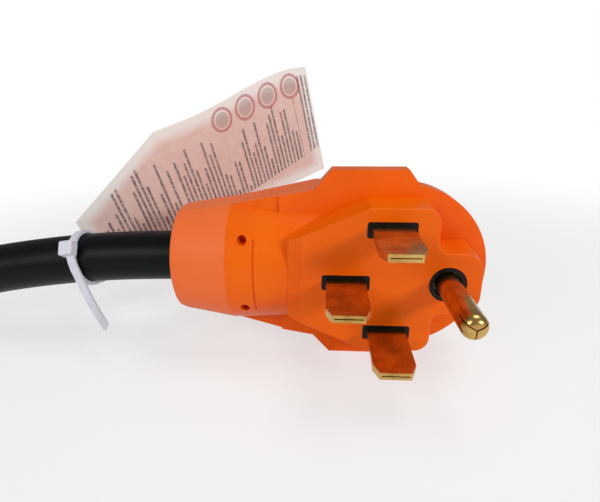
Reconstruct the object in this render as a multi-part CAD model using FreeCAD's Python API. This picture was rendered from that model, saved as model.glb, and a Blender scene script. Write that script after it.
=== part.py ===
# Shore power cord: a four-prong moulded plug, a short heavy cord and a locking connector with a
# threaded coupling ring. Millimetres. +Z is up, the blades point to -Y and the cord leaves to -X.
# The plug stands on the flat of its lower wing, and the connector lies on the flat of its flange.
import FreeCAD, Part
import math
import os

V = FreeCAD.Vector
X_DIR = V(1, 0, 0)
Y_DIR = V(0, 1, 0)
Z_DIR = V(0, 0, 1)

# Blades and ground pin, placed from the midpoint of the two line blades
LINE_SPACING = 33.5
NEUTRAL_X = -13.0
PIN_X = 17.4
BLADE_WIDTH = 11.8
BLADE_THICK = 2.1
BLADE_REACH = 22.3
BLADE_TIP_INSET = 1.6
BLADE_TIP_LENGTH = 3.9
FOLD_GAP = 0.35
FOLD_GAP_DEPTH = 0.8
FOLD_GAP_INSET = 0.5
PIN_RADIUS = 3.5
PIN_REACH = 26.4
PIN_TIP_ROUND = 2.4
PIN_SLIT = 0.4
PIN_SLIT_LENGTH = 5.0
PIN_SLIT_COUNT = 3
PIN_END_MARGIN = 1.0
PIN_ROOT_RADIUS = 4.2
PIN_TIP_WALL = 1.6
PIN_SLIT_CORE = 2.4

# Crimp barrels at the roots of the blades and contacts
CRIMP_RADIUS = 2.7
CRIMP_LENGTH = 8.0
LEG_LENGTH = 3.0
LEG_WIDTH = 5.0
LEG_MARGIN = 0.5
CRIMP_END_WALL = 1.0
CRIMP_OVERLAP = 1.0
PIN_CRIMP_OVERLAP = 2.0
PIN_CRIMP_SETBACK = 10.0

# Plug outline, seen from the blades
WING_HALF = 32.0
WING_LEFT = -17.5
WING_RIGHT = 6.0
WING_EDGE_DEPTH = 7.0
NECK_TOP_X = -23.2
NECK_TOP_HALF = 25.6
SIDE_SLOPE = 0.177
HEAD_X = 4.7
HEAD_WALL = 1.7
HEAD_CHAMFER_ANGLE = 80.0
HEAD_ROOT_X = -34.0
HEAD_SHOULDER_INSET = 6.0
HEAD_SHOULDER_DEPTH = 13.5
HEAD_BACK_INSET = 12.5
HEAD_BACK_DEPTH = 9.0

# Face boss that carries the blades
BOSS_DEPTH = 12.5
BOSS_DRAFT = 0.85
BOSS_LEFT = -30.5
BOSS_LEFT_HALF = 12.5
BOSS_TOP_LEFT = -6.5
BOSS_RIM = 3.95
BOSS_WAIST_X = 13.6
BOSS_CORNER = 4.6
LOBE_HALF = 9.8
LOBE_END = 27.4
LOBE_CORNER = 6.0
WAIST_FILLET = 3.6
BEVEL_WIDTH = 4.5
BEVEL_DROP = 1.4
FACE_EDGE_ROUND = 0.5

# Tail: a barrel about the cord, cut flat on two sides
CORD_DEPTH = 22.5
CROWN_RADIUS = 20.8
RIDGE_X = -53.5
RIDGE_RADIUS = 21.5
COLLAR_END_X = -69.0
COLLAR_END_RADIUS = 18.8
COLLAR_END_ROUND = 2.0
NECK_RIDGE_FRONT = 15.5
SEAM_X = -39.0
SEAM_WIDTH = 0.5
SEAM_DEPTH = 0.25
SEAM_HALF = 11.8
LOCATOR_HOLE_X = -45.0
LOCATOR_HOLE_HALF = 11.5
LOCATOR_HOLE_RADIUS = 1.5
LOCATOR_HOLE_DEPTH = 4.0

# Windows in the face and the black carrier behind it
FACE_WALL = 3.0
CARRIER_INSET = 3.2
CARRIER_DEPTH = 12.5
CARRIER_RECESS = 0.25
WINDOW_WIDTH = 14.5
WINDOW_HEIGHT = 5.0
WINDOW_CORNER = 0.8
PIN_WINDOW_RADIUS = 5.6

# Black inner mould round the crimps
MOULD_MARGIN = 0.55
MOULD_LEFT = -30.0
MOULD_CORNER_X = -24.6
MOULD_TAPER = 5.5
MOULD_BACK = 32.0
MOULD_NECK_MARGIN = 1.0
MOULD_NECK_OVERLAP = 2.0
MOULD_NECK_END = -60.0

# Cord
CORD_RADIUS = 8.75
CORE_RADIUS = 2.6
COPPER_RADIUS = 1.55
CORE_PITCH_RADIUS = 3.1
LINE_CORE_ANGLE = 90.0
NEUTRAL_CORE_ANGLE = 210.0
GROUND_CORE_ANGLE = 330.0
CORE_STRAIGHT = 7.0
CRIMP_LEAD = 6.0
JACKET_END_X = -50.0
BARREL_MOUTH_GAP = 0.2

# Connector, along its own axis from the tail
CONNECTOR_HALF = 33.0
TAIL_RADIUS = 10.8
TAPER_LENGTH = 40.0
TAPER_RADIUS = 16.6
FLEX_GROOVES = 4
FLEX_GROOVE_WIDTH = 2.4
FLEX_GROOVE_DEPTH = 1.6
GROOVE_SIDE = 0.4
GRIP_START = 52.0
GRIP_RADIUS = 20.5
GRIP_RIBS = 6
GRIP_RIB_WIDTH = 1.6
GRIP_RIB_HEIGHT = 0.8
FLANGE_START = 78.0
FLANGE_THICK = 8.0
FLANGE_RADIUS = 29.5
FLANGE_CHAMFER = 2.0
FLANGE_WING_ROOT_SHARE = 0.7
FLANGE_WING_HALF_WIDTH = 11.0
FLANGE_WING_ROOT_HALF_WIDTH = 17.0
JOURNAL_RADIUS = 20.2
JOURNAL_LENGTH = 5.4
INSERT_SPIGOT_RADIUS = 17.0
INSERT_RADIUS = 19.2
INSERT_FLANGE_RADIUS = 23.0
INSERT_FLANGE_THICK = 2.4
INSERT_REACH = 18.0
INSERT_EDGE_ROUND = 1.0
SLOT_PITCH_RADIUS = 12.5
SLOT_WIDTH = 2.6
SLOT_FRONT = 2.0
SLOT_SPANS = (("line", 90.0, 46.0), ("neutral", 215.0, 52.0), ("ground", 330.0, 40.0))
HOOK_WIDTH = 2.6
CONTACT_LEAF = 0.9
CONTACT_LENGTH = 30.0
CONTACT_BACK = 2.0
CONTACT_END_MARGIN = 3.0
CONNECTOR_MOULD_RADIUS = 16.2
CONNECTOR_MOULD_NECK_RADIUS = 9.5
CONNECTOR_MOULD_TAPER_END = 48.0
CONNECTOR_JACKET_END = 14.0
GASKET_THICK = 1.6
GASKET_SEAT_RADIUS = 18.4

# Coupling ring
RING_CLEARANCE = 0.3
RING_BORE_RADIUS = 27.0
RING_RADIUS = 31.4
RING_LENGTH = 23.5
RING_RIBS = 24
RING_RIB_WIDTH = 3.0
RING_RIB_HEIGHT = 0.9
RING_RIB_ROOT = 1.0
RING_EDGE = 1.2

# Cable tie
TIE_X = -105.6
TIE_AXIS_DROP = 1.9
TIE_TILT = 9.0
TIE_WIDTH = 2.6
TIE_THICK = 1.1
TIE_SLACK = 0.3
TIE_LOOP_REACH = 19.4
TIE_LOOP_END_RADIUS = 3.0
TIE_LOOP_ANGLE = -150.0
TIE_HEAD_ANGLE = 36.5
TIE_HEAD_LENGTH = 5.0
TIE_HEAD_WIDTH = 4.8
TIE_HEAD_THICK = 3.8
TIE_HEAD_ROUND = 0.6
TIE_TAIL_ANGLE = 2.0
TIE_TAIL_REACH = V(7.8, -9.8, -20.2)
TIE_TAIL_BEND = 13.5
TIE_TAIL_SWING = 6.3
TIE_TAIL_STEPS = 6

# Hang tag: a stiff card with one end cut to a slant, its lower corner placed from the tie and the cord
TAG_LEFT_OF_TIE = 2.5
TAG_BEHIND_CORD = 14.3
TAG_BOTTOM = 18.0
TAG_LENGTH = 110.0
TAG_WIDTH = 45.0
TAG_THICK = 0.6
TAG_CUT_LENGTH = 39.5
TAG_CUT_WIDTH = 20.5
TAG_HOLE_RADIUS = 4.2
TAG_HOLE_AT = (5.2, 8.0)
TAG_YAW = 32.8
TAG_LEAN = 15.9
TAG_ROLL = 10.8

# Every cutter runs past the surface that it cuts by this much, and faces this near a plane lie in it
OVERRUN = 1.0
TOUCH = 0.01

AXIS_Z = WING_HALF
BLADE_H = LINE_SPACING / 2
BOSS_HALF = BLADE_H + WINDOW_HEIGHT / 2 + BOSS_RIM
MOULD_HALF = BLADE_H + CRIMP_RADIUS + MOULD_MARGIN
MOULD_LEFT_HALF = MOULD_HALF - MOULD_TAPER
MOULD_NECK_RADIUS = MOULD_LEFT_HALF + MOULD_NECK_MARGIN
HEAD_RADIUS = MOULD_HALF + HEAD_SHOULDER_INSET + HEAD_WALL
HEAD_RIGHT = HEAD_X + HEAD_RADIUS
BLADE_PLACES = ((0.0, BLADE_H), (0.0, -BLADE_H), (NEUTRAL_X, 0.0))
PIN_CRIMP_DEPTH = FACE_WALL + CARRIER_DEPTH + PIN_CRIMP_SETBACK
FLANGE_FRONT = FLANGE_START + FLANGE_THICK
INSERT_FLANGE_BACK = FLANGE_FRONT + JOURNAL_LENGTH
INSERT_FLANGE_FRONT = INSERT_FLANGE_BACK + INSERT_FLANGE_THICK
CONNECTOR_LENGTH = INSERT_FLANGE_FRONT + INSERT_REACH
CONTACT_FRONT = CONNECTOR_LENGTH - SLOT_FRONT
INSERT_START = CONTACT_FRONT - CONTACT_LENGTH
POCKET_INNER = SLOT_PITCH_RADIUS - SLOT_WIDTH / 2 - CONTACT_LEAF
POCKET_OUTER = SLOT_PITCH_RADIUS + SLOT_WIDTH / 2 + CONTACT_LEAF

# The cord's route, from its cut end in the plug to its cut end in the connector
CONNECTOR_X = -262.6
CONNECTOR_Y = -157.0
CONNECTOR_LEAD = 13.0
ROUTE = [
    V(JACKET_END_X, CORD_DEPTH, AXIS_Z),
    V(-84.0, CORD_DEPTH, AXIS_Z),
    V(-118.0, 22.3, 29.0),
    V(-149.0, 20.2, 24.3),
    V(-178.0, 13.8, 17.4),
    V(-205.0, 2.6, 11.6),
    V(-228.0, -15.0, 9.4),
    V(-245.4, -38.2, 9.6),
    V(-256.3, -65.1, 13.4),
    V(-261.1, -92.2, 21.2),
    V(-262.2, -117.0, 28.9),
    V(CONNECTOR_X, CONNECTOR_Y + CONNECTOR_LEAD, CONNECTOR_HALF),
    V(CONNECTOR_X, CONNECTOR_Y - CONNECTOR_JACKET_END, CONNECTOR_HALF),
]
RUN_SHARE = 0.45

# The part's origin is under the middle of the plug, blades included
ORIGIN = V((HEAD_RIGHT + COLLAR_END_X) / 2, (CORD_DEPTH + RIDGE_RADIUS - PIN_REACH) / 2, 0)


def side_half(x):
    """Half height of the plug between its two side flats at x."""
    return NECK_TOP_HALF + SIDE_SLOPE * (x - NECK_TOP_X)


def above_axis(x, half, y):
    """Point at a height above or below the plug's middle plane."""
    return V(x, y, AXIS_Z + half)


def symmetric_wire(start, steps, y):
    """Closed outline at depth y, from its upper half; a step is (end,) or (arc middle, end)."""
    edges = []
    for side in (1, -1):
        last = above_axis(start[0], side * start[1], y)
        for step in steps:
            end = above_axis(step[-1][0], side * step[-1][1], y)
            if len(step) == 2:
                middle = above_axis(step[0][0], side * step[0][1], y)
                edges.append(Part.Arc(last, middle, end).toShape())
            else:
                edges.append(Part.LineSegment(last, end).toShape())
            last = end
    for x, half in (start, steps[-1][-1]):
        if half > 0:
            edges.append(Part.LineSegment(above_axis(x, -half, y), above_axis(x, half, y)).toShape())
    return Part.Wire(Part.__sortEdges__(edges))


def arc_step(centre, radius, start_angle, end_angle):
    """Arc step about a centre in the outline plane, angles in degrees."""
    middle_angle = (start_angle + end_angle) / 2
    ring = []
    for angle in (middle_angle, end_angle):
        turn = math.radians(angle)
        ring.append((centre[0] + radius * math.cos(turn), centre[1] + radius * math.sin(turn)))
    return tuple(ring)


def loft(wires):
    """Solid with straight rulings through a row of like wires."""
    return Part.makeLoft(wires, True, True)


def prism(wire, depth):
    """Solid from a wire at constant y, pushed backwards."""
    return Part.Face(wire).extrude(V(0, depth, 0))


def revolved(profile, base, direction, side):
    """Solid of revolution; profile points are (distance along the axis, radius)."""
    points = [base + direction * along + side * radius for along, radius in profile]
    wire = Part.makePolygon(points + [points[0]])
    return Part.Face(wire).revolve(base, direction, 360)


def route_wire(points, share):
    """Straight runs joined by tangent arcs, each arc as large as its two runs allow."""
    edges = []
    last = points[0]
    radii = []
    for before, corner, after in zip(points, points[1:], points[2:]):
        back = (before - corner).normalize()
        ahead = (after - corner).normalize()
        turn = math.pi - back.getAngle(ahead)
        cut = share * min((corner - before).Length, (after - corner).Length)
        radius = cut / math.tan(turn / 2)
        to_centre = (back + ahead).normalize()
        centre = corner + to_centre * math.hypot(cut, radius)
        start = corner + back * cut
        end = corner + ahead * cut
        edges.append(Part.LineSegment(last, start).toShape())
        edges.append(Part.Arc(start, centre - to_centre * radius, end).toShape())
        radii.append(radius)
        last = end
    edges.append(Part.LineSegment(last, points[-1]).toShape())
    return Part.Wire(edges), radii


def round_section(centre, direction, radius):
    """Circle wire across a route."""
    return Part.Wire(Part.makeCircle(radius, centre, direction))


def tube(points, radius, share):
    """Solid round bar along a route."""
    path, radii = route_wire(points, share)
    section = round_section(points[0], points[1] - points[0], radius)
    return path.makePipeShell([section], True, False), path.Length, radii


def head_wire(y, inset):
    """Outline of the plug's head and wings at depth y, drawn in by an inset."""
    turn = math.radians(HEAD_CHAMFER_ANGLE)
    radius = HEAD_RADIUS - inset
    half = WING_HALF - inset
    chamfer_foot = (HEAD_X + radius * math.cos(turn), radius * math.sin(turn))
    chamfer_run = (HEAD_X + HEAD_RADIUS * math.cos(turn) - WING_RIGHT) * half / WING_HALF
    steps = [
        ((NECK_TOP_X, NECK_TOP_HALF - inset),),
        ((WING_LEFT, half),),
        ((chamfer_foot[0] - chamfer_run, half),),
        (chamfer_foot,),
        arc_step((HEAD_X, 0), radius, HEAD_CHAMFER_ANGLE, 0),
    ]
    return symmetric_wire((HEAD_ROOT_X, side_half(HEAD_ROOT_X) - inset), steps, y)


def boss_wire(y, grow):
    """Outline of the face boss at depth y, widened by the draft."""
    half = BOSS_HALF + grow
    lobe = LOBE_HALF + grow
    end = LOBE_END + grow
    waist = BOSS_WAIST_X + grow
    fillet = WAIST_FILLET
    steps = [
        ((BOSS_TOP_LEFT, half),),
        ((waist - BOSS_CORNER, half),),
        arc_step((waist - BOSS_CORNER, half - BOSS_CORNER), BOSS_CORNER, 90, 0),
        ((waist, lobe + fillet),),
        arc_step((waist + fillet, lobe + fillet), fillet, 180, 270),
        ((end - LOBE_CORNER, lobe),),
        arc_step((end - LOBE_CORNER, lobe - LOBE_CORNER), LOBE_CORNER, 90, 0),
    ]
    return symmetric_wire((BOSS_LEFT - grow, BOSS_LEFT_HALF + grow), steps, y)


def window_wire(x, half, y):
    """Rounded slot round one blade, in the face."""
    w = WINDOW_WIDTH / 2 - WINDOW_CORNER
    h = WINDOW_HEIGHT / 2 - WINDOW_CORNER
    edges = []
    corners = ((w, h, 0), (-w, h, 90), (-w, -h, 180), (w, -h, 270))
    last = None
    first = None
    for dx, dh, angle in corners:
        ring = []
        for step in (0, 45, 90):
            turn = math.radians(angle + step)
            px = x + dx + WINDOW_CORNER * math.cos(turn)
            ph = half + dh + WINDOW_CORNER * math.sin(turn)
            ring.append(above_axis(px, ph, y))
        if last is not None:
            edges.append(Part.LineSegment(last, ring[0]).toShape())
        else:
            first = ring[0]
        edges.append(Part.Arc(*ring).toShape())
        last = ring[2]
    edges.append(Part.LineSegment(last, first).toShape())
    return Part.Wire(edges)


def face_windows(y, depth):
    """The three slots and the round hole of the face, as solids."""
    shapes = [prism(window_wire(x, half, y), depth) for x, half in BLADE_PLACES]
    shapes.append(Part.makeCylinder(PIN_WINDOW_RADIUS, depth, above_axis(PIN_X, 0, y), Y_DIR))
    return shapes


def plug_outer():
    """The plug's outer form: head with wings, tapered neck, barrel tail and face boss."""
    shoulder = BOSS_DEPTH + WING_EDGE_DEPTH
    head = loft([head_wire(BOSS_DEPTH, 0), head_wire(shoulder, 0)])
    slope = loft([head_wire(shoulder, 0), head_wire(shoulder + HEAD_SHOULDER_DEPTH, HEAD_SHOULDER_INSET)])
    back_start = shoulder + HEAD_SHOULDER_DEPTH
    back = loft([
        head_wire(back_start, HEAD_SHOULDER_INSET),
        head_wire(back_start + HEAD_BACK_DEPTH, HEAD_BACK_INSET),
    ])

    neck_sections = []
    for x, front in ((RIDGE_X, NECK_RIDGE_FRONT), (NECK_TOP_X, BOSS_DEPTH)):
        rear = 2 * CORD_DEPTH - front
        half = side_half(x)
        corners = [above_axis(x, half, front), above_axis(x, half, rear)]
        corners += [above_axis(x, -half, rear), above_axis(x, -half, front)]
        neck_sections.append(Part.makePolygon(corners + corners[:1]))
    neck = loft(neck_sections)

    run = COLLAR_END_ROUND * math.cos(math.radians(45))
    profile = [
        (HEAD_ROOT_X + 2 * BEVEL_WIDTH, 0),
        (HEAD_ROOT_X + 2 * BEVEL_WIDTH, CROWN_RADIUS),
        (RIDGE_X, RIDGE_RADIUS),
        (COLLAR_END_X + COLLAR_END_ROUND, COLLAR_END_RADIUS),
        (COLLAR_END_X + COLLAR_END_ROUND - run, COLLAR_END_RADIUS - COLLAR_END_ROUND + run),
        (COLLAR_END_X, COLLAR_END_RADIUS - COLLAR_END_ROUND),
        (COLLAR_END_X, 0),
    ]
    barrel = revolved(profile, above_axis(0, 0, CORD_DEPTH), X_DIR, Z_DIR)
    flats_end = HEAD_ROOT_X + 3 * BEVEL_WIDTH
    flats_start = COLLAR_END_X - OVERRUN
    flats_steps = [((flats_end, side_half(flats_end)),)]
    flats_wire = symmetric_wire((flats_start, side_half(flats_start)), flats_steps, 0)
    flats = prism(flats_wire, 2 * CORD_DEPTH)
    tail = barrel.common(flats)

    boss_root = boss_wire(BOSS_DEPTH + FACE_WALL, BOSS_DRAFT)
    boss = loft([boss_wire(0, 0), boss_wire(BOSS_DEPTH, BOSS_DRAFT), boss_root]).cut(left_bevel())
    rim = [edge for edge in boss.Edges if abs(edge.BoundBox.YMax) < TOUCH and abs(edge.BoundBox.YMin) < TOUCH]
    boss = boss.makeFillet(FACE_EDGE_ROUND, rim)
    return head.fuse([slope, back, neck, tail, boss]).removeSplitter()


def left_bevel():
    """Wedge that slants the boss's left edge down to the tail's crown."""
    left = BOSS_LEFT - 2 * BOSS_DRAFT
    right = BOSS_LEFT + BEVEL_WIDTH
    drop = BEVEL_DROP * (right - left) / BEVEL_WIDTH
    corners = [V(left, -OVERRUN, 0), V(right, -OVERRUN, 0), V(right, 0, 0), V(left, drop, 0)]
    wedge = Part.Face(Part.makePolygon(corners + corners[:1]))
    return wedge.extrude(V(0, 0, 2 * WING_HALF))


def crown_details():
    """Two round locator holes and the fine seam across the tail's crown."""
    shapes = []
    for side in (1, -1):
        half = side * LOCATOR_HOLE_HALF
        bottom = CORD_DEPTH - math.sqrt(CROWN_RADIUS ** 2 - LOCATOR_HOLE_HALF ** 2) + LOCATOR_HOLE_DEPTH
        base = above_axis(LOCATOR_HOLE_X, half, bottom)
        shapes.append(Part.makeCylinder(LOCATOR_HOLE_RADIUS, bottom + OVERRUN, base, -Y_DIR))
    share = (SEAM_X - HEAD_ROOT_X) / (RIDGE_X - HEAD_ROOT_X)
    outer = CROWN_RADIUS + share * (RIDGE_RADIUS - CROWN_RADIUS)
    ring = revolved(
        [
            (SEAM_X, outer - SEAM_DEPTH),
            (SEAM_X + SEAM_WIDTH, outer - SEAM_DEPTH),
            (SEAM_X + SEAM_WIDTH, outer + OVERRUN),
            (SEAM_X, outer + OVERRUN),
        ],
        above_axis(0, 0, CORD_DEPTH),
        X_DIR,
        Z_DIR,
    )
    keep_corner = above_axis(SEAM_X - OVERRUN, -SEAM_HALF, -OVERRUN)
    keep = Part.makeBox(SEAM_WIDTH + 2 * OVERRUN, CORD_DEPTH, 2 * SEAM_HALF, keep_corner)
    shapes.append(ring.common(keep))
    return shapes


def carrier_outer():
    """Carrier block behind the face, with lugs that fill the windows."""
    front = FACE_WALL
    block = prism(boss_wire(front, -CARRIER_INSET), CARRIER_DEPTH)
    lugs = face_windows(CARRIER_RECESS, front + OVERRUN - CARRIER_RECESS)
    return block.fuse(lugs).removeSplitter()


def mould_outer():
    """Inner mould: a slab in the head and a round neck on the cord."""
    front = FACE_WALL + CARRIER_DEPTH
    steps = [
        ((MOULD_CORNER_X, MOULD_HALF),),
        ((HEAD_X, MOULD_HALF),),
        arc_step((HEAD_X, 0), MOULD_HALF, 90, 0),
    ]
    slab = prism(symmetric_wire((MOULD_LEFT, MOULD_LEFT_HALF), steps, front), MOULD_BACK - front)
    neck_length = MOULD_LEFT + MOULD_NECK_OVERLAP - MOULD_NECK_END
    neck = Part.makeCylinder(MOULD_NECK_RADIUS, neck_length, above_axis(MOULD_NECK_END, 0, CORD_DEPTH), X_DIR)
    return slab.fuse(neck.cut(carrier_outer())).removeSplitter()


def leg_depth():
    """Depth of the middle of the blade roots' legs and crimps."""
    return FACE_WALL + CARRIER_DEPTH + LEG_WIDTH / 2 + LEG_MARGIN


def crimp(mouth, direction):
    """Crimp barrel from its mouth, with the bore for the copper."""
    outer = Part.makeCylinder(CRIMP_RADIUS, CRIMP_LENGTH, mouth, direction)
    return outer.cut(Part.makeCylinder(COPPER_RADIUS, CRIMP_LENGTH - CRIMP_END_WALL, mouth, direction))


def blade_shape(x, half):
    """Folded brass blade: tip with cut corners, root, side leg and crimp barrel."""
    w = BLADE_WIDTH / 2
    depth = leg_depth()
    root_end = depth + LEG_WIDTH / 2
    leg_end = -w - LEG_LENGTH
    tip = -BLADE_REACH
    plan = [
        (w - BLADE_TIP_INSET, tip),
        (w, tip + BLADE_TIP_LENGTH),
        (w, root_end),
        (leg_end, root_end),
        (leg_end, root_end - LEG_WIDTH),
        (-w, root_end - LEG_WIDTH),
        (-w, tip + BLADE_TIP_LENGTH),
        (-w + BLADE_TIP_INSET, tip),
    ]
    low = half - BLADE_THICK / 2
    points = [above_axis(x + px, low, py) for px, py in plan]
    strip = Part.Face(Part.makePolygon(points + points[:1])).extrude(V(0, 0, BLADE_THICK))
    gap_inset = BLADE_TIP_INSET + FOLD_GAP_INSET
    gap_corner = above_axis(x - w + gap_inset, half - FOLD_GAP / 2, tip - OVERRUN)
    gap = Part.makeBox(BLADE_WIDTH - 2 * gap_inset, FOLD_GAP_DEPTH + OVERRUN, FOLD_GAP, gap_corner)
    mouth = crimp_mouth(x, half)
    overlap = Part.makeCylinder(CRIMP_RADIUS, CRIMP_LENGTH, mouth, X_DIR)
    return strip.cut(gap).cut(overlap).fuse(crimp(mouth, X_DIR)).removeSplitter()


def crimp_mouth(x, half):
    """Open end of a blade's crimp barrel."""
    return above_axis(x - BLADE_WIDTH / 2 - LEG_LENGTH - CRIMP_LENGTH + CRIMP_OVERLAP, half, leg_depth())


def pin_mouth():
    """Open end of the ground pin's crimp barrel."""
    return above_axis(PIN_X - PIN_RADIUS - CRIMP_LENGTH + PIN_CRIMP_OVERLAP, 0, PIN_CRIMP_DEPTH)


def ground_pin():
    """Round ground pin, formed from sheet, its rounded tip closed by three slits."""
    shaft = Part.makeCylinder(PIN_RADIUS, PIN_REACH + CARRIER_RECESS, above_axis(PIN_X, 0, -PIN_REACH), Y_DIR)
    tip_edges = [edge for edge in shaft.Edges if edge.BoundBox.YMax < TOUCH - PIN_REACH]
    shaft = shaft.makeFillet(PIN_TIP_ROUND, tip_edges)
    slits = []
    for index in range(PIN_SLIT_COUNT):
        slit = Part.makeBox(
            PIN_RADIUS + OVERRUN,
            PIN_SLIT_LENGTH + OVERRUN,
            PIN_SLIT,
            above_axis(PIN_X, -PIN_SLIT / 2, -PIN_REACH - OVERRUN),
        )
        slit.rotate(above_axis(PIN_X, 0, 0), Y_DIR, 90 + 360 * index / PIN_SLIT_COUNT)
        slits.append(slit)
    core_base = above_axis(PIN_X, 0, PIN_TIP_WALL - PIN_REACH)
    core = Part.makeCylinder(PIN_SLIT_CORE, PIN_SLIT_LENGTH, core_base, Y_DIR)
    shaft = shaft.cut([slit.cut(core) for slit in slits])
    root_length = PIN_CRIMP_DEPTH + CRIMP_RADIUS + PIN_END_MARGIN - CARRIER_RECESS
    root = Part.makeCylinder(PIN_ROOT_RADIUS, root_length, above_axis(PIN_X, 0, CARRIER_RECESS), Y_DIR)
    mouth = pin_mouth()
    overlap = Part.makeCylinder(CRIMP_RADIUS, CRIMP_LENGTH, mouth, X_DIR)
    return shaft.fuse(root).cut(overlap).fuse(crimp(mouth, X_DIR)).removeSplitter()


def core_spot(angle):
    """Offset of a core from the cord's middle, across the cord."""
    turn = math.radians(angle)
    return V(0, CORE_PITCH_RADIUS * math.cos(turn), CORE_PITCH_RADIUS * math.sin(turn))


def insulated_core(start, mouth):
    """A core from the cord's end to a crimp's mouth: insulation, copper and the two together."""
    end = mouth - V(BARREL_MOUTH_GAP, 0, 0)
    points = [start, start + V(CORE_STRAIGHT, 0, 0), end - V(CRIMP_LEAD, 0, 0), end]
    solid = tube(points, CORE_RADIUS, RUN_SHARE)[0]
    copper = tube(points, COPPER_RADIUS, RUN_SHARE)[0]
    stub = Part.makeCylinder(COPPER_RADIUS, CRIMP_LENGTH - CRIMP_END_WALL + BARREL_MOUTH_GAP, end, X_DIR)
    return solid.cut(copper), copper.fuse(stub).removeSplitter(), solid


def plug_core_ends():
    """Start of each core at the cord's end in the plug, and its crimp's mouth."""
    cut = above_axis(JACKET_END_X, 0, CORD_DEPTH)
    return {
        "line": (cut + core_spot(LINE_CORE_ANGLE), crimp_mouth(0, BLADE_H)),
        "neutral": (cut + core_spot(NEUTRAL_CORE_ANGLE), crimp_mouth(NEUTRAL_X, 0)),
        "ground": (cut + core_spot(GROUND_CORE_ANGLE), pin_mouth()),
    }


def along_connector(shape):
    """Turn a piece built along +X into place on the connector's axis, which points to -Y."""
    moved = shape.copy()
    moved.rotate(V(0, 0, 0), Z_DIR, -90)
    moved.translate(V(CONNECTOR_X, CONNECTOR_Y, CONNECTOR_HALF))
    return moved


def turned(profile):
    """Piece of the connector turned about its axis; points are (along, radius)."""
    return revolved(profile, V(0, 0, 0), X_DIR, Z_DIR)


def connector_outer():
    """Connector's moulded body: flexing taper, ribbed grip, winged flange and ring journal."""
    profile = [(0, 0), (0, TAIL_RADIUS)]
    pitch = TAPER_LENGTH / (FLEX_GROOVES + 1)
    slope = (TAPER_RADIUS - TAIL_RADIUS) / TAPER_LENGTH
    for index in range(FLEX_GROOVES):
        start = pitch * (index + 1) - FLEX_GROOVE_WIDTH / 2
        end = start + FLEX_GROOVE_WIDTH
        deep = FLEX_GROOVE_DEPTH
        for along, depth in ((start, 0), (start + GROOVE_SIDE, deep), (end - GROOVE_SIDE, deep), (end, 0)):
            profile.append((along, TAIL_RADIUS + slope * along - depth))
    profile.append((TAPER_LENGTH, TAPER_RADIUS))
    rib_pitch = (FLANGE_START - GRIP_START) / GRIP_RIBS
    for index in range(GRIP_RIBS):
        start = GRIP_START + rib_pitch * index
        profile.append((start, GRIP_RADIUS))
        profile.append((start + GROOVE_SIDE, GRIP_RADIUS + GRIP_RIB_HEIGHT))
        profile.append((start + GRIP_RIB_WIDTH, GRIP_RADIUS + GRIP_RIB_HEIGHT))
        profile.append((start + GRIP_RIB_WIDTH + GROOVE_SIDE, GRIP_RADIUS))
    profile.append((FLANGE_START, GRIP_RADIUS))
    profile.append((FLANGE_START + FLANGE_CHAMFER, FLANGE_RADIUS))
    profile.append((FLANGE_FRONT, FLANGE_RADIUS))
    profile.append((FLANGE_FRONT, JOURNAL_RADIUS))
    profile.append((INSERT_FLANGE_BACK, JOURNAL_RADIUS))
    profile.append((INSERT_FLANGE_BACK, 0))
    body = turned(profile)
    for side in (1, -1):
        low = FLANGE_RADIUS * FLANGE_WING_ROOT_SHARE
        back = FLANGE_START + FLANGE_CHAMFER
        corners = [
            V(back, -FLANGE_WING_ROOT_HALF_WIDTH, side * low),
            V(back, -FLANGE_WING_HALF_WIDTH, side * CONNECTOR_HALF),
            V(back, FLANGE_WING_HALF_WIDTH, side * CONNECTOR_HALF),
            V(back, FLANGE_WING_ROOT_HALF_WIDTH, side * low),
        ]
        wing = Part.Face(Part.makePolygon(corners + corners[:1])).extrude(V(FLANGE_FRONT - back, 0, 0))
        body = body.fuse(wing)
    return body.removeSplitter()


def arc_band(mid_radius, width, centre_angle, span, start, length):
    """Curved bar about the connector's axis: an arc band pushed along the axis."""
    half = math.radians(span / 2)
    centre = math.radians(centre_angle)
    rings = []
    for radius in (mid_radius - width / 2, mid_radius + width / 2):
        row = []
        for angle in (centre - half, centre, centre + half):
            row.append(V(start, radius * math.cos(angle), radius * math.sin(angle)))
        rings.append(row)
    inner, outer = rings
    edges = [
        Part.Arc(*inner).toShape(),
        Part.LineSegment(inner[2], outer[2]).toShape(),
        Part.Arc(outer[2], outer[1], outer[0]).toShape(),
        Part.LineSegment(outer[0], inner[0]).toShape(),
    ]
    return Part.Face(Part.Wire(edges)).extrude(V(length, 0, 0))


def contact_mouth(angle):
    """Open end of a contact's crimp barrel."""
    turn = math.radians(angle)
    outward = V(0, math.cos(turn), math.sin(turn))
    return V(INSERT_START - CRIMP_LENGTH, 0, 0) + outward * SLOT_PITCH_RADIUS


def contact(angle, span):
    """Female contact: two curved leaves on a common back, and a crimp barrel."""
    width = POCKET_OUTER - POCKET_INNER
    block_span = span + 2 * CONTACT_END_MARGIN
    gap_span = block_span + 2 * CONTACT_END_MARGIN
    block = arc_band(SLOT_PITCH_RADIUS, width, angle, block_span, INSERT_START, CONTACT_LENGTH)
    gap_start = INSERT_START + CONTACT_BACK
    gap = arc_band(SLOT_PITCH_RADIUS, SLOT_WIDTH, angle, gap_span, gap_start, CONTACT_LENGTH)
    return block.cut(gap).fuse(crimp(contact_mouth(angle), X_DIR)).removeSplitter()


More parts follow.
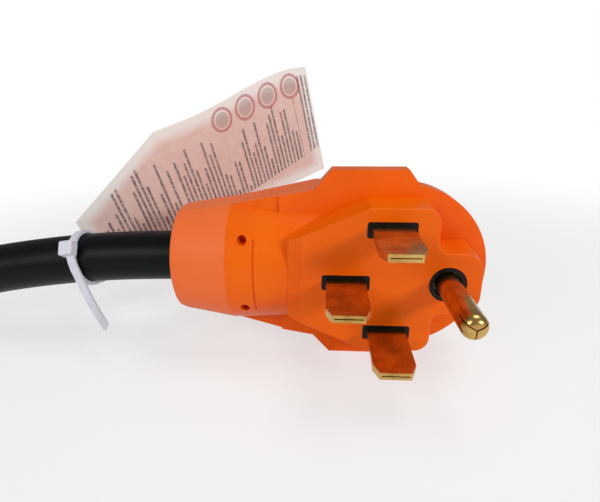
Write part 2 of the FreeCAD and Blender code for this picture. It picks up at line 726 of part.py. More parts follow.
def insert_core():
    """Post in the middle of the insert: a lip at the face, notched for the ground slot's hook."""
    post = turned(
        [
            (INSERT_START, 0),
            (INSERT_START, POCKET_INNER),
            (CONTACT_FRONT, POCKET_INNER),
            (CONTACT_FRONT, POCKET_INNER + CONTACT_LEAF),
            (CONNECTOR_LENGTH, POCKET_INNER + CONTACT_LEAF),
            (CONNECTOR_LENGTH, 0),
        ]
    )
    angle, span = SLOT_SPANS[-1][1:]
    notch = Part.makeBox(SLOT_FRONT, 2 * CONTACT_LEAF, HOOK_WIDTH, V(CONTACT_FRONT, POCKET_INNER, 0))
    notch.rotate(V(0, 0, 0), X_DIR, angle - span / 2)
    return post.cut(notch)


def insert_webs():
    """Three curved webs of the insert, between one contact and the next."""
    webs = []
    for (_, angle, span), (_, next_angle, next_span) in zip(SLOT_SPANS, SLOT_SPANS[1:] + SLOT_SPANS[:1]):
        next_angle += 360 if next_angle < angle else 0
        start = angle + span / 2
        end = next_angle - next_span / 2
        middle = (start + end) / 2
        width = POCKET_OUTER - POCKET_INNER
        thick_span = end - start - 2 * CONTACT_END_MARGIN
        web = arc_band(SLOT_PITCH_RADIUS, width, middle, thick_span, INSERT_START, CONTACT_LENGTH)
        lip = arc_band(SLOT_PITCH_RADIUS, SLOT_WIDTH, middle, end - start, CONTACT_FRONT, SLOT_FRONT)
        webs.append(web.fuse(lip).removeSplitter())
    return Part.makeCompound(webs)


def insert_sleeve():
    """Black insert's sleeve: spigot in the body, retaining flange, round nose and a lip at the face."""
    edge = INSERT_EDGE_ROUND
    return turned(
        [
            (INSERT_START, POCKET_OUTER),
            (INSERT_START, INSERT_SPIGOT_RADIUS),
            (INSERT_FLANGE_BACK, INSERT_SPIGOT_RADIUS),
            (INSERT_FLANGE_BACK, INSERT_FLANGE_RADIUS),
            (INSERT_FLANGE_FRONT, INSERT_FLANGE_RADIUS),
            (INSERT_FLANGE_FRONT, GASKET_SEAT_RADIUS),
            (INSERT_FLANGE_FRONT + GASKET_THICK, GASKET_SEAT_RADIUS),
            (INSERT_FLANGE_FRONT + GASKET_THICK, INSERT_RADIUS),
            (CONNECTOR_LENGTH - edge, INSERT_RADIUS),
            (CONNECTOR_LENGTH, INSERT_RADIUS - edge),
            (CONNECTOR_LENGTH, POCKET_OUTER - CONTACT_LEAF),
            (CONTACT_FRONT, POCKET_OUTER - CONTACT_LEAF),
            (CONTACT_FRONT, POCKET_OUTER),
        ]
    )


def coupling_ring():
    """Ribbed ring that turns on the body's journal, held by the insert's flange."""
    back = FLANGE_FRONT + RING_CLEARANCE * 2
    lip_front = INSERT_FLANGE_BACK - RING_CLEARANCE * 2
    front = back + RING_LENGTH
    profile = [
        (back, JOURNAL_RADIUS + RING_CLEARANCE),
        (back, RING_RADIUS - RING_EDGE),
        (back + RING_EDGE, RING_RADIUS),
        (front - RING_EDGE, RING_RADIUS),
        (front, RING_RADIUS - RING_EDGE),
        (front, RING_BORE_RADIUS + RING_EDGE / 2),
        (front - RING_EDGE / 2, RING_BORE_RADIUS),
        (lip_front, RING_BORE_RADIUS),
        (lip_front, JOURNAL_RADIUS + RING_CLEARANCE),
    ]
    ring = turned(profile)
    ribs = []
    for index in range(RING_RIBS):
        rib = Part.makeBox(
            RING_LENGTH - 3 * RING_EDGE,
            RING_RIB_WIDTH,
            RING_RIB_HEIGHT + RING_RIB_ROOT,
            V(back + 1.5 * RING_EDGE, -RING_RIB_WIDTH / 2, RING_RADIUS - RING_RIB_ROOT),
        )
        rib.rotate(V(0, 0, 0), X_DIR, 360 * index / RING_RIBS)
        ribs.append(rib)
    return ring.fuse(ribs).removeSplitter()


def tie_point(radius, angle):
    """Point round the cord at the tie's middle; angle 0 faces the blades' side and 90 is up."""
    turn = math.radians(angle)
    middle = V(TIE_X, CORD_DEPTH, AXIS_Z - TIE_AXIS_DROP)
    return middle + V(0, -radius * math.cos(turn), radius * math.sin(turn))


def belt_face(big, small):
    """Face of a belt round the cord and a smaller round behind it."""
    axis = TIE_LOOP_ANGLE
    spread = math.degrees(math.acos((big - small) / TIE_LOOP_REACH))
    end = tie_point(TIE_LOOP_REACH, axis) - tie_point(0, 0)
    outer = [tie_point(big, axis + spread), tie_point(big, axis + 180), tie_point(big, axis - spread)]
    inner = [tie_point(small, axis + side * spread) + end for side in (-1, 0, 1)]
    edges = [
        Part.Arc(*outer).toShape(),
        Part.LineSegment(outer[2], inner[0]).toShape(),
        Part.Arc(*inner).toShape(),
        Part.LineSegment(inner[2], outer[0]).toShape(),
    ]
    face = Part.Face(Part.Wire(edges))
    face.translate(V(-TIE_WIDTH / 2, 0, 0))
    return face


def strap_section(middle, direction, outward):
    """Rectangle of the strap across a direction, its flat side facing outward."""
    side = direction.cross(outward).normalize() * (TIE_WIDTH / 2)
    rise = side.cross(direction).normalize() * (TIE_THICK / 2)
    corners = [middle + side + rise, middle - side + rise, middle - side - rise, middle + side - rise]
    return Part.makePolygon(corners + corners[:1])


def tie_tail():
    """The tie's free end: it hugs the cord below the head, then bends away to the front and right."""
    radius = CORD_RADIUS + 1.5 * TIE_THICK
    centre = tie_point(0, 0)
    sections = []
    for step in range(TIE_TAIL_STEPS):
        angle = TIE_HEAD_ANGLE + (TIE_TAIL_ANGLE - TIE_HEAD_ANGLE) * step / TIE_TAIL_STEPS
        outward = (tie_point(radius, angle) - centre).normalize()
        sections.append(strap_section(centre + outward * radius, X_DIR.cross(outward), outward))
    outward = (tie_point(radius, TIE_TAIL_ANGLE) - centre).normalize()
    start = centre + outward * radius
    end = start + TIE_TAIL_REACH
    bend = start + X_DIR.cross(outward) * TIE_TAIL_BEND
    for step in range(TIE_TAIL_STEPS + 1):
        share = step / TIE_TAIL_STEPS
        middle = start * (1 - share) ** 2 + bend * (2 * share * (1 - share)) + end * share ** 2
        direction = ((bend - start) * (1 - share) + (end - bend) * share).normalize()
        sections.append(strap_section(middle, direction, outward))
    tail = loft(sections)
    tail.rotate(centre, tie_point(1, TIE_HEAD_ANGLE) - centre, TIE_TAIL_SWING)
    return tail


def cable_tie():
    """Nylon tie: strap loop round the cord and through the tag's hole, ratchet head and free tail."""
    inner = CORD_RADIUS + TIE_SLACK
    outer = inner + TIE_THICK
    loop = belt_face(outer, TIE_LOOP_END_RADIUS + TIE_THICK).cut(belt_face(inner, TIE_LOOP_END_RADIUS))
    loop = loop.extrude(V(TIE_WIDTH, 0, 0))
    head = Part.makeBox(TIE_HEAD_WIDTH, TIE_HEAD_THICK, TIE_HEAD_LENGTH)
    head.translate(V(-TIE_HEAD_WIDTH / 2, -TIE_HEAD_THICK, -TIE_HEAD_LENGTH / 2))
    head = head.makeFillet(TIE_HEAD_ROUND, head.Edges)
    head.rotate(V(0, 0, 0), X_DIR, -TIE_HEAD_ANGLE)
    head.translate(tie_point(inner + TIE_THICK / 2, TIE_HEAD_ANGLE))
    tie = loop.fuse([head, tie_tail()]).removeSplitter()
    tie.rotate(tie_point(0, 0), Y_DIR, -TIE_TILT)
    return tie


def hang_tag():
    """Stiff card on the tie: a rectangle with one long corner cut off and a round hole."""
    outline = [
        V(0, 0, 0),
        V(TAG_LENGTH, 0, 0),
        V(TAG_LENGTH, 0, TAG_WIDTH),
        V(TAG_CUT_LENGTH, 0, TAG_WIDTH),
        V(0, 0, TAG_WIDTH - TAG_CUT_WIDTH),
    ]
    card = Part.Face(Part.makePolygon(outline + outline[:1])).extrude(V(0, TAG_THICK, 0))
    hole_at = V(TAG_HOLE_AT[0], -OVERRUN, TAG_HOLE_AT[1])
    card = card.cut(Part.makeCylinder(TAG_HOLE_RADIUS, TAG_THICK + 2 * OVERRUN, hole_at, Y_DIR))
    turn = FreeCAD.Rotation(-Y_DIR, TAG_ROLL) * FreeCAD.Rotation(X_DIR, TAG_LEAN)
    turn = turn * FreeCAD.Rotation(Z_DIR, TAG_YAW)
    corner = V(TIE_X - TAG_LEFT_OF_TIE, CORD_DEPTH + TAG_BEHIND_CORD, TAG_BOTTOM)
    card.Placement = FreeCAD.Placement(corner, turn)
    return card


def cord_jacket():
    """The cord's jacket along its route."""
    shape, length, radii = tube(ROUTE, CORD_RADIUS, RUN_SHARE)
    expected = math.pi * CORD_RADIUS ** 2 * length
    print("cord length", round(length, 1), "volume share", round(shape.Volume / expected, 4))
    print("arc radii", [round(radius) for radius in radii])
    runs = [(after - before).Length for before, after in zip(ROUTE, ROUTE[1:])]
    print("runs", [round(run, 1) for run in runs])
    return shape


def build_plug():
    """All pieces of the plug, by node name."""
    carrier_block = carrier_outer()
    mould_block = mould_outer()
    blades = {
        "line_blade": blade_shape(0, BLADE_H),
        "idle_line_blade": blade_shape(0, -BLADE_H),
        "neutral_blade": blade_shape(NEUTRAL_X, 0),
        "ground_pin": ground_pin(),
    }
    metal = list(blades.values())
    cores = {}
    copper = []
    solids = []
    for name, (start, mouth) in plug_core_ends().items():
        cores["plug_" + name + "_core"], strands, solid = insulated_core(start, mouth)
        copper.append(strands)
        solids.append(solid)
    jacket_start = COLLAR_END_X - OVERRUN
    jacket_base = above_axis(jacket_start, 0, CORD_DEPTH)
    jacket_end = Part.makeCylinder(CORD_RADIUS, JACKET_END_X - jacket_start, jacket_base, X_DIR)
    windows = face_windows(-OVERRUN, FACE_WALL)
    body = plug_outer().cut([carrier_block, mould_block, jacket_end] + windows + crown_details())
    pieces = {
        "plug_body": body,
        "blade_carrier": carrier_block.cut(metal),
        "inner_mould": mould_block.cut(metal + solids + copper + [jacket_end, carrier_block]),
        "plug_copper_strands": Part.makeCompound(copper),
    }
    pieces.update(blades)
    pieces.update(cores)
    return pieces


def build_connector():
    """All pieces of the connector, by node name."""
    mould = turned(
        [
            (CONNECTOR_JACKET_END, 0),
            (CONNECTOR_JACKET_END, CONNECTOR_MOULD_NECK_RADIUS),
            (CONNECTOR_MOULD_TAPER_END, CONNECTOR_MOULD_RADIUS),
            (INSERT_START, CONNECTOR_MOULD_RADIUS),
            (INSERT_START, 0),
        ]
    )
    bore = Part.makeCylinder(INSERT_SPIGOT_RADIUS, CONTACT_LENGTH, V(INSERT_START, 0, 0), X_DIR)
    jacket_end = Part.makeCylinder(CORD_RADIUS, CONNECTOR_JACKET_END, V(0, 0, 0), X_DIR)
    gasket_end = INSERT_FLANGE_FRONT + GASKET_THICK
    gasket_profile = [
        (INSERT_FLANGE_FRONT, GASKET_SEAT_RADIUS),
        (INSERT_FLANGE_FRONT, INSERT_FLANGE_RADIUS),
        (gasket_end, INSERT_FLANGE_RADIUS),
        (gasket_end, GASKET_SEAT_RADIUS),
    ]
    pieces = {}
    copper = []
    filled = []
    for name, angle, span in SLOT_SPANS:
        pieces[name + "_contact"] = contact(angle, span)
        start = V(CONNECTOR_JACKET_END, 0, 0) + core_spot(angle)
        pieces["connector_" + name + "_core"], strands, solid = insulated_core(start, contact_mouth(angle))
        copper.append(strands)
        filled += [solid, strands, pieces[name + "_contact"]]
    pieces["connector_insert"] = insert_sleeve()
    pieces["insert_core"] = insert_core()
    pieces["insert_webs"] = insert_webs()
    pieces["connector_body"] = connector_outer().cut([bore, mould, jacket_end])
    pieces["connector_inner_mould"] = mould.cut(filled)
    pieces["connector_copper_strands"] = Part.makeCompound(copper)
    pieces["coupling_ring"] = coupling_ring()
    pieces["face_gasket"] = turned(gasket_profile)
    return {name: along_connector(shape) for name, shape in pieces.items()}


def main():
    """Build every piece and write one file for each."""
    os.makedirs("parts", exist_ok=True)
    pieces = build_plug()
    pieces.update(build_connector())
    pieces["cord_jacket"] = cord_jacket()
    pieces["cable_tie"] = cable_tie()
    pieces["hang_tag"] = hang_tag()
    for name, shape in pieces.items():
        placed = shape.copy()
        placed.translate(-ORIGIN)
        placed.exportStep(os.path.join("parts", name + ".step"))
        print(name, "solids", len(shape.Solids), "valid", shape.isValid(), "volume", round(shape.Volume))


main()
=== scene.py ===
# A short heavy shore power cord: an orange moulded four-prong plug, a black cord and a locking
# connector with a ribbed coupling ring. Names that end in _mm hold millimetres.
import logging
import math
from dataclasses import dataclass
from enum import Enum
from typing import Any, Callable

import bmesh
import bpy
from mathutils import Euler, Matrix, Vector


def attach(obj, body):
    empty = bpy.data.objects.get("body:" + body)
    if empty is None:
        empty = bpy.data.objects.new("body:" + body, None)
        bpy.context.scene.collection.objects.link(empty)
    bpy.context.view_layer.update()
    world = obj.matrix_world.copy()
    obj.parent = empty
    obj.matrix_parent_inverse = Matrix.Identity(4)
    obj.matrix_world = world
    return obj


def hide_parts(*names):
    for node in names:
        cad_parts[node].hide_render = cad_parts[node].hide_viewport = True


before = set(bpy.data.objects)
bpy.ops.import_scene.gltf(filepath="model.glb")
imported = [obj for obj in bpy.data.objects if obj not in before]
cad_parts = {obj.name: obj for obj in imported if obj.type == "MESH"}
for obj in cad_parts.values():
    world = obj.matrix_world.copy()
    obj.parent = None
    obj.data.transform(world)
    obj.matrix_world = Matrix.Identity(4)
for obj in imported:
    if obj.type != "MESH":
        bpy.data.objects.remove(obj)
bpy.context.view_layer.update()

LOG = logging.getLogger("shore_cord")
MILLIMETRE = 0.001
WHITE = (1.0, 1.0, 1.0, 1.0)

# Zero of the plug's own frame: the midpoint of the line blades on the face, at floor height
PLUG_ZERO_MM = (18.3, -8.8, 0.0)
AXIS_HEIGHT_MM = 32.0
CORD_DEPTH_MM = 22.5
# Zero of the connector's axis in the plug's own frame; the axis runs from here along -Y
FAR_ZERO_MM = (-262.6, -157.0, 33.0)

# Corners this close are one, edges this short go, and faces that turn less than this are one
MERGE_MM = 0.002
SLIVER_MM = 0.001
FLAT_DEGREES = 0.4
# An edge that turns more than this is real
SHARP_DEGREES = 27.0
# A blunter edge is real above this turn, if it and the faces beside it are wider than this
BLUNT_DEGREES = 10.5
NARROW_MM = 1.0
ROUNDING_STEPS = 2
# Edges above this turn are shaded sharp
SHADING_DEGREES = 35.0


class Body(Enum):
    """The rigid bodies that pieces ride on."""

    CORD_SET = "cord_set"
    RING = "coupling_ring"


class Slot(Enum):
    """The record's finishes, by name."""

    ORANGE = "orange_vinyl"
    BRASS = "brass"
    JACKET = "cord_vinyl"
    TIE = "natural_nylon"
    CARD = "tag_card"


def plug_mm(x: float, y: float, z: float) -> Vector:
    """Point given in the plug's own frame.

    Args:
        x: Millimetres from the line blades towards the round end.
        y: Millimetres behind the face.
        z: Millimetres above the floor.

    Returns:
        The point in the row frame, in metres.
    """
    return (Vector((x, y, z)) + Vector(PLUG_ZERO_MM)) * MILLIMETRE


def linear(code: str) -> tuple[float, float, float, float]:
    """Scene colour from an sRGB hex code.

    Args:
        code: Six hex digits after a hash.

    Returns:
        Linear red, green, blue and an alpha of one.
    """
    channels = [int(code[i : i + 2], 16) / 255 for i in (1, 3, 5)]
    bent = [c / 12.92 if c <= 0.04045 else ((c + 0.055) / 1.055) ** 2.4 for c in channels]
    return (bent[0], bent[1], bent[2], 1.0)


def per_mm(size_mm: float) -> float:
    """Texture scale with one cell per size in millimetres, on coordinates in metres."""
    return 1.0 / (size_mm * MILLIMETRE)


def node(
    tree: bpy.types.NodeTree,
    kind: str,
    inputs: dict[str | int, Any] | None = None,
    stops: list[tuple[float, str]] | None = None,
    **settings: Any,
) -> bpy.types.Node:
    """Add a node with its settings, values and links.

    Args:
        tree: Tree that takes the node.
        kind: Blender's name of the node type.
        inputs: Socket name or number to a value, or to the output socket that it is linked from.
        stops: Places and hex colours of a colour ramp.
        **settings: Attributes of the node, set before its inputs.

    Returns:
        The new node.
    """
    made = tree.nodes.new(kind)
    for key, value in settings.items():
        setattr(made, key, value)
    for key, value in (inputs or {}).items():
        if isinstance(value, bpy.types.NodeSocket):
            tree.links.new(value, made.inputs[key])
        else:
            made.inputs[key].default_value = value
    for index, (place, code) in enumerate(stops or []):
        elements = made.color_ramp.elements
        element = elements[index] if index < len(elements) else elements.new(place)
        element.position = place
        element.color = linear(code)
    return made


def start_material(name: str) -> tuple[bpy.types.Material, bpy.types.NodeTree]:
    """Empty material with its tree.

    Args:
        name: Name of the material.

    Returns:
        The material and its tree, which holds no node.
    """
    material = bpy.data.materials.new(name)
    material.use_nodes = True
    material.node_tree.nodes.clear()
    return material, material.node_tree


@dataclass(frozen=True)
class MouldedVinyl:
    """Injection-moulded orange PVC: a satin skin with faint flow marks, and a paler, matt collar."""

    colour: str = "#F66900"
    colour_deep: str = "#EF6100"
    colour_collar: str = "#F57438"
    roughness: float = 0.34
    roughness_collar: float = 0.47
    roughness_spread: float = 0.05
    ior: float = 1.53
    # Plasticiser dulls the skin, so that it mirrors less than a hard plastic does
    sheen_level: float = 0.16
    flow_mm: float = 26.0
    flow_range: tuple[float, float] = (0.35, 0.65)
    skin_mm: float = 1.4
    skin_depth_mm: float = 0.05
    bump: float = 0.3
    # Spark erosion leaves pits of about 0.05 mm on the collar, drawn coarser so that they show
    grain_mm: float = 0.45
    # The tool's polishing runs along the cord and leaves faint lines on the collar
    draw_mm: float = 0.6
    draw_stretch: float = 0.05
    collar_mm: tuple[float, float] = (-75.0, -50.2)
    collar_lead_mm: float = 0.3

    def collar_mask(self, tree: bpy.types.NodeTree, place: bpy.types.NodeSocket) -> bpy.types.NodeSocket:
        """Part of the surface that has the collar's finish.

        Args:
            tree: Tree of the material.
            place: Object coordinates.

        Returns:
            One on the collar, and zero elsewhere.
        """
        tail, ridge = (plug_mm(x, 0, 0).x for x in self.collar_mm)
        lead = self.collar_lead_mm * MILLIMETRE
        along = node(tree, "ShaderNodeSeparateXYZ", {0: place}).outputs["X"]
        behind_ridge = node(
            tree, "ShaderNodeMapRange", {"Value": along, "From Min": ridge + lead, "From Max": ridge - lead}
        ).outputs[0]
        past_tail = node(tree, "ShaderNodeMath", {0: along, 1: tail}, operation="GREATER_THAN").outputs[0]
        both = node(tree, "ShaderNodeMath", {0: behind_ridge, 1: past_tail}, operation="MULTIPLY")
        return both.outputs[0]

    def build(self) -> bpy.types.Material:
        """Make the material.

        Returns:
            The material, for any piece of the row frame.
        """
        material, tree = start_material("moulded_orange_pvc")
        place = node(tree, "ShaderNodeTexCoord").outputs["Object"]
        drawn = node(tree, "ShaderNodeMapping", {"Vector": place, "Scale": (self.draw_stretch, 1.0, 1.0)})
        marks = []
        for source, size_mm, detail in (
            (place, self.flow_mm, 2.0),
            (place, self.skin_mm, 3.0),
            (place, self.grain_mm, 2.0),
            (drawn.outputs[0], self.draw_mm, 2.0),
        ):
            values = {"Vector": source, "Scale": per_mm(size_mm), "Detail": detail}
            marks.append(node(tree, "ShaderNodeTexNoise", values).outputs["Fac"])
        flow, skin, grain, lines = marks
        collar = self.collar_mask(tree, place)
        collar_skin = node(tree, "ShaderNodeMath", {0: grain, 1: lines}, operation="ADD").outputs[0]
        body = node(
            tree,
            "ShaderNodeValToRGB",
            {"Fac": flow},
            list(zip(self.flow_range, (self.colour_deep, self.colour))),
        )
        colour = node(
            tree,
            "ShaderNodeMix",
            {0: collar, 6: body.outputs["Color"], 7: linear(self.colour_collar)},
            data_type="RGBA",
        )
        satin = node(
            tree,
            "ShaderNodeMapRange",
            {
                "Value": skin,
                "To Min": self.roughness - self.roughness_spread,
                "To Max": self.roughness + self.roughness_spread,
            },
        )
        rough = node(tree, "ShaderNodeMix", {0: collar, 2: satin.outputs[0], 3: self.roughness_collar})
        height = node(tree, "ShaderNodeMix", {0: collar, 2: skin, 3: collar_skin})
        depth = self.skin_depth_mm * MILLIMETRE
        bump = node(
            tree, "ShaderNodeBump", {"Strength": self.bump, "Distance": depth, "Height": height.outputs[0]}
        )
        shader = node(
            tree,
            "ShaderNodeBsdfPrincipled",
            {
                "Base Color": colour.outputs[2],
                "Roughness": rough.outputs[0],
                "IOR": self.ior,
                "Specular IOR Level": self.sheen_level,
                "Normal": bump.outputs["Normal"],
            },
        )
        node(tree, "ShaderNodeOutputMaterial", {"Surface": shader.outputs[0]})
        return material


@dataclass(frozen=True)
class Polymer:
    """Plain moulded or extruded polymer: one colour with a worn tint, and a fine skin."""

    name: str
    colour: str
    colour_worn: str
    roughness: float
    skin_mm: float
    roughness_spread: float = 0.05
    worn_range: tuple[float, float] = (0.35, 0.75)
    depth_mm: float = 0.04
    bump: float = 0.3
    ior: float = 1.5
    sheen_level: float = 0.5
    subsurface: float = 0.0
    subsurface_mm: float = 1.0
    stretch: tuple[float, float, float] = (1.0, 1.0, 1.0)

    def build(self) -> bpy.types.Material:
        """Make the material.

        Returns:
            The material.
        """
        material, tree = start_material(self.name)
        place = node(tree, "ShaderNodeTexCoord").outputs["Object"]
        turned = node(tree, "ShaderNodeMapping", {"Vector": place, "Scale": self.stretch})
        skin = node(
            tree,
            "ShaderNodeTexNoise",
            {"Vector": turned.outputs[0], "Scale": per_mm(self.skin_mm), "Detail": 3.0},
        ).outputs["Fac"]
        colour = node(
            tree,
            "ShaderNodeValToRGB",
            {"Fac": skin},
            list(zip(self.worn_range, (self.colour, self.colour_worn))),
        )
        rough = node(
            tree,
            "ShaderNodeMapRange",
            {
                "Value": skin,
                "To Min": self.roughness - self.roughness_spread,
                "To Max": self.roughness + self.roughness_spread,
            },
        )
        depth = self.depth_mm * MILLIMETRE
        bump = node(tree, "ShaderNodeBump", {"Strength": self.bump, "Distance": depth, "Height": skin})
        shader = node(
            tree,
            "ShaderNodeBsdfPrincipled",
            {
                "Base Color": colour.outputs["Color"],
                "Roughness": rough.outputs[0],
                "IOR": self.ior,
                "Specular IOR Level": self.sheen_level,
                "Subsurface Weight": self.subsurface,
                "Subsurface Scale": self.subsurface_mm * MILLIMETRE,
                "Normal": bump.outputs["Normal"],
            },
        )
        node(tree, "ShaderNodeOutputMaterial", {"Surface": shader.outputs[0]})
        return material


@dataclass(frozen=True)
class BrushedMetal:
    """Rolled sheet or stranded metal: fine streaks along one direction, and a light tarnish in patches."""

    name: str
    colour: str
    colour_tarnish: str
    roughness: float
    roughness_spread: float = 0.04
    streak_mm: float = 0.25
    streak_length: float = 14.0
    streak_depth_mm: float = 0.008
    bump: float = 0.08
    tarnish_mm: float = 5.0
    tarnish_range: tuple[float, float] = (0.4, 0.72)

    def build(self) -> bpy.types.Material:
        """Make the material.

        Returns:
            The material.
        """
        material, tree = start_material(self.name)
        place = node(tree, "ShaderNodeTexCoord").outputs["Object"]
        stretch = (1.0, 1 / self.streak_length, 1.0)
        stretched = node(tree, "ShaderNodeMapping", {"Vector": place, "Scale": stretch})
        streaks = node(
            tree,
            "ShaderNodeTexNoise",
            {"Vector": stretched.outputs[0], "Scale": per_mm(self.streak_mm), "Detail": 2.0},
        ).outputs["Fac"]
        patches = node(
            tree, "ShaderNodeTexNoise", {"Vector": place, "Scale": per_mm(self.tarnish_mm), "Detail": 4.0}
        ).outputs["Fac"]
        colour = node(
            tree,
            "ShaderNodeValToRGB",
            {"Fac": patches},
            list(zip(self.tarnish_range, (self.colour, self.colour_tarnish))),
        )
        rough = node(
            tree,
            "ShaderNodeMapRange",
            {
                "Value": streaks,
                "To Min": self.roughness - self.roughness_spread,
                "To Max": self.roughness + self.roughness_spread,
            },
        )
        depth = self.streak_depth_mm * MILLIMETRE
        bump = node(tree, "ShaderNodeBump", {"Strength": self.bump, "Distance": depth, "Height": streaks})
        shader = node(
            tree,
            "ShaderNodeBsdfPrincipled",
            {
                "Base Color": colour.outputs["Color"],
                "Metallic": 1.0,
                "Roughness": rough.outputs[0],
                "Normal": bump.outputs["Normal"],
            },
        )
        node(tree, "ShaderNodeOutputMaterial", {"Surface": shader.outputs[0]})
        return material


# Carrier and insert: nylon from a fine-textured tool, near black with a dull sheen
BLACK_NYLON = Polymer(
    "moulded_black_nylon", "#0A0A0C", "#111113", roughness=0.42, skin_mm=0.8, sheen_level=0.22
)
# Blades, pin and contacts: sheet rolled along the blades, bright and yellow with browner patches
ROLLED_BRASS = BrushedMetal("rolled_brass", "#D6B068", "#AC8244", roughness=0.26)
# Strands in the crimps: reddish, and duller than the sheet
BARE_COPPER = BrushedMetal("bare_copper_strand", "#C9785A", "#A55C40", roughness=0.35)
# Jacket: the die draws its skin out along the cord, deep black with a soft shine
EXTRUDED_PVC = Polymer(
    "extruded_black_pvc",
    "#04080A",
    "#0B1011",
    roughness=0.4,
    skin_mm=0.7,
    sheen_level=0.14,
    stretch=(0.12, 1.0, 1.0),
)
# Tie: undyed nylon, milky and a little translucent
NATURAL_NYLON = Polymer(
    "natural_nylon", "#E2E3EC", "#D4D6E2", roughness=0.38, skin_mm=1.0, depth_mm=0.02, subsurface=0.2
)
# Gasket: pressed rubber, dark grey and dull
NITRILE = Polymer("black_nitrile", "#17181A", "#202124", roughness=0.6, skin_mm=0.7)
# Inside of the mouldings, and the line cores: plain black PVC, duller than the jacket
FILLER_PVC = Polymer("black_filler_pvc", "#141416", "#1D1D20", roughness=0.55, skin_mm=1.5)
# Insulation of the neutral and the ground cores: smooth from the die
WHITE_PVC = Polymer("white_core_pvc", "#D8D8D2", "#C8C8C2", roughness=0.45, skin_mm=1.0)
GREEN_PVC = Polymer("green_core_pvc", "#1F7A3A", "#1A6A32", roughness=0.45, skin_mm=1.0)


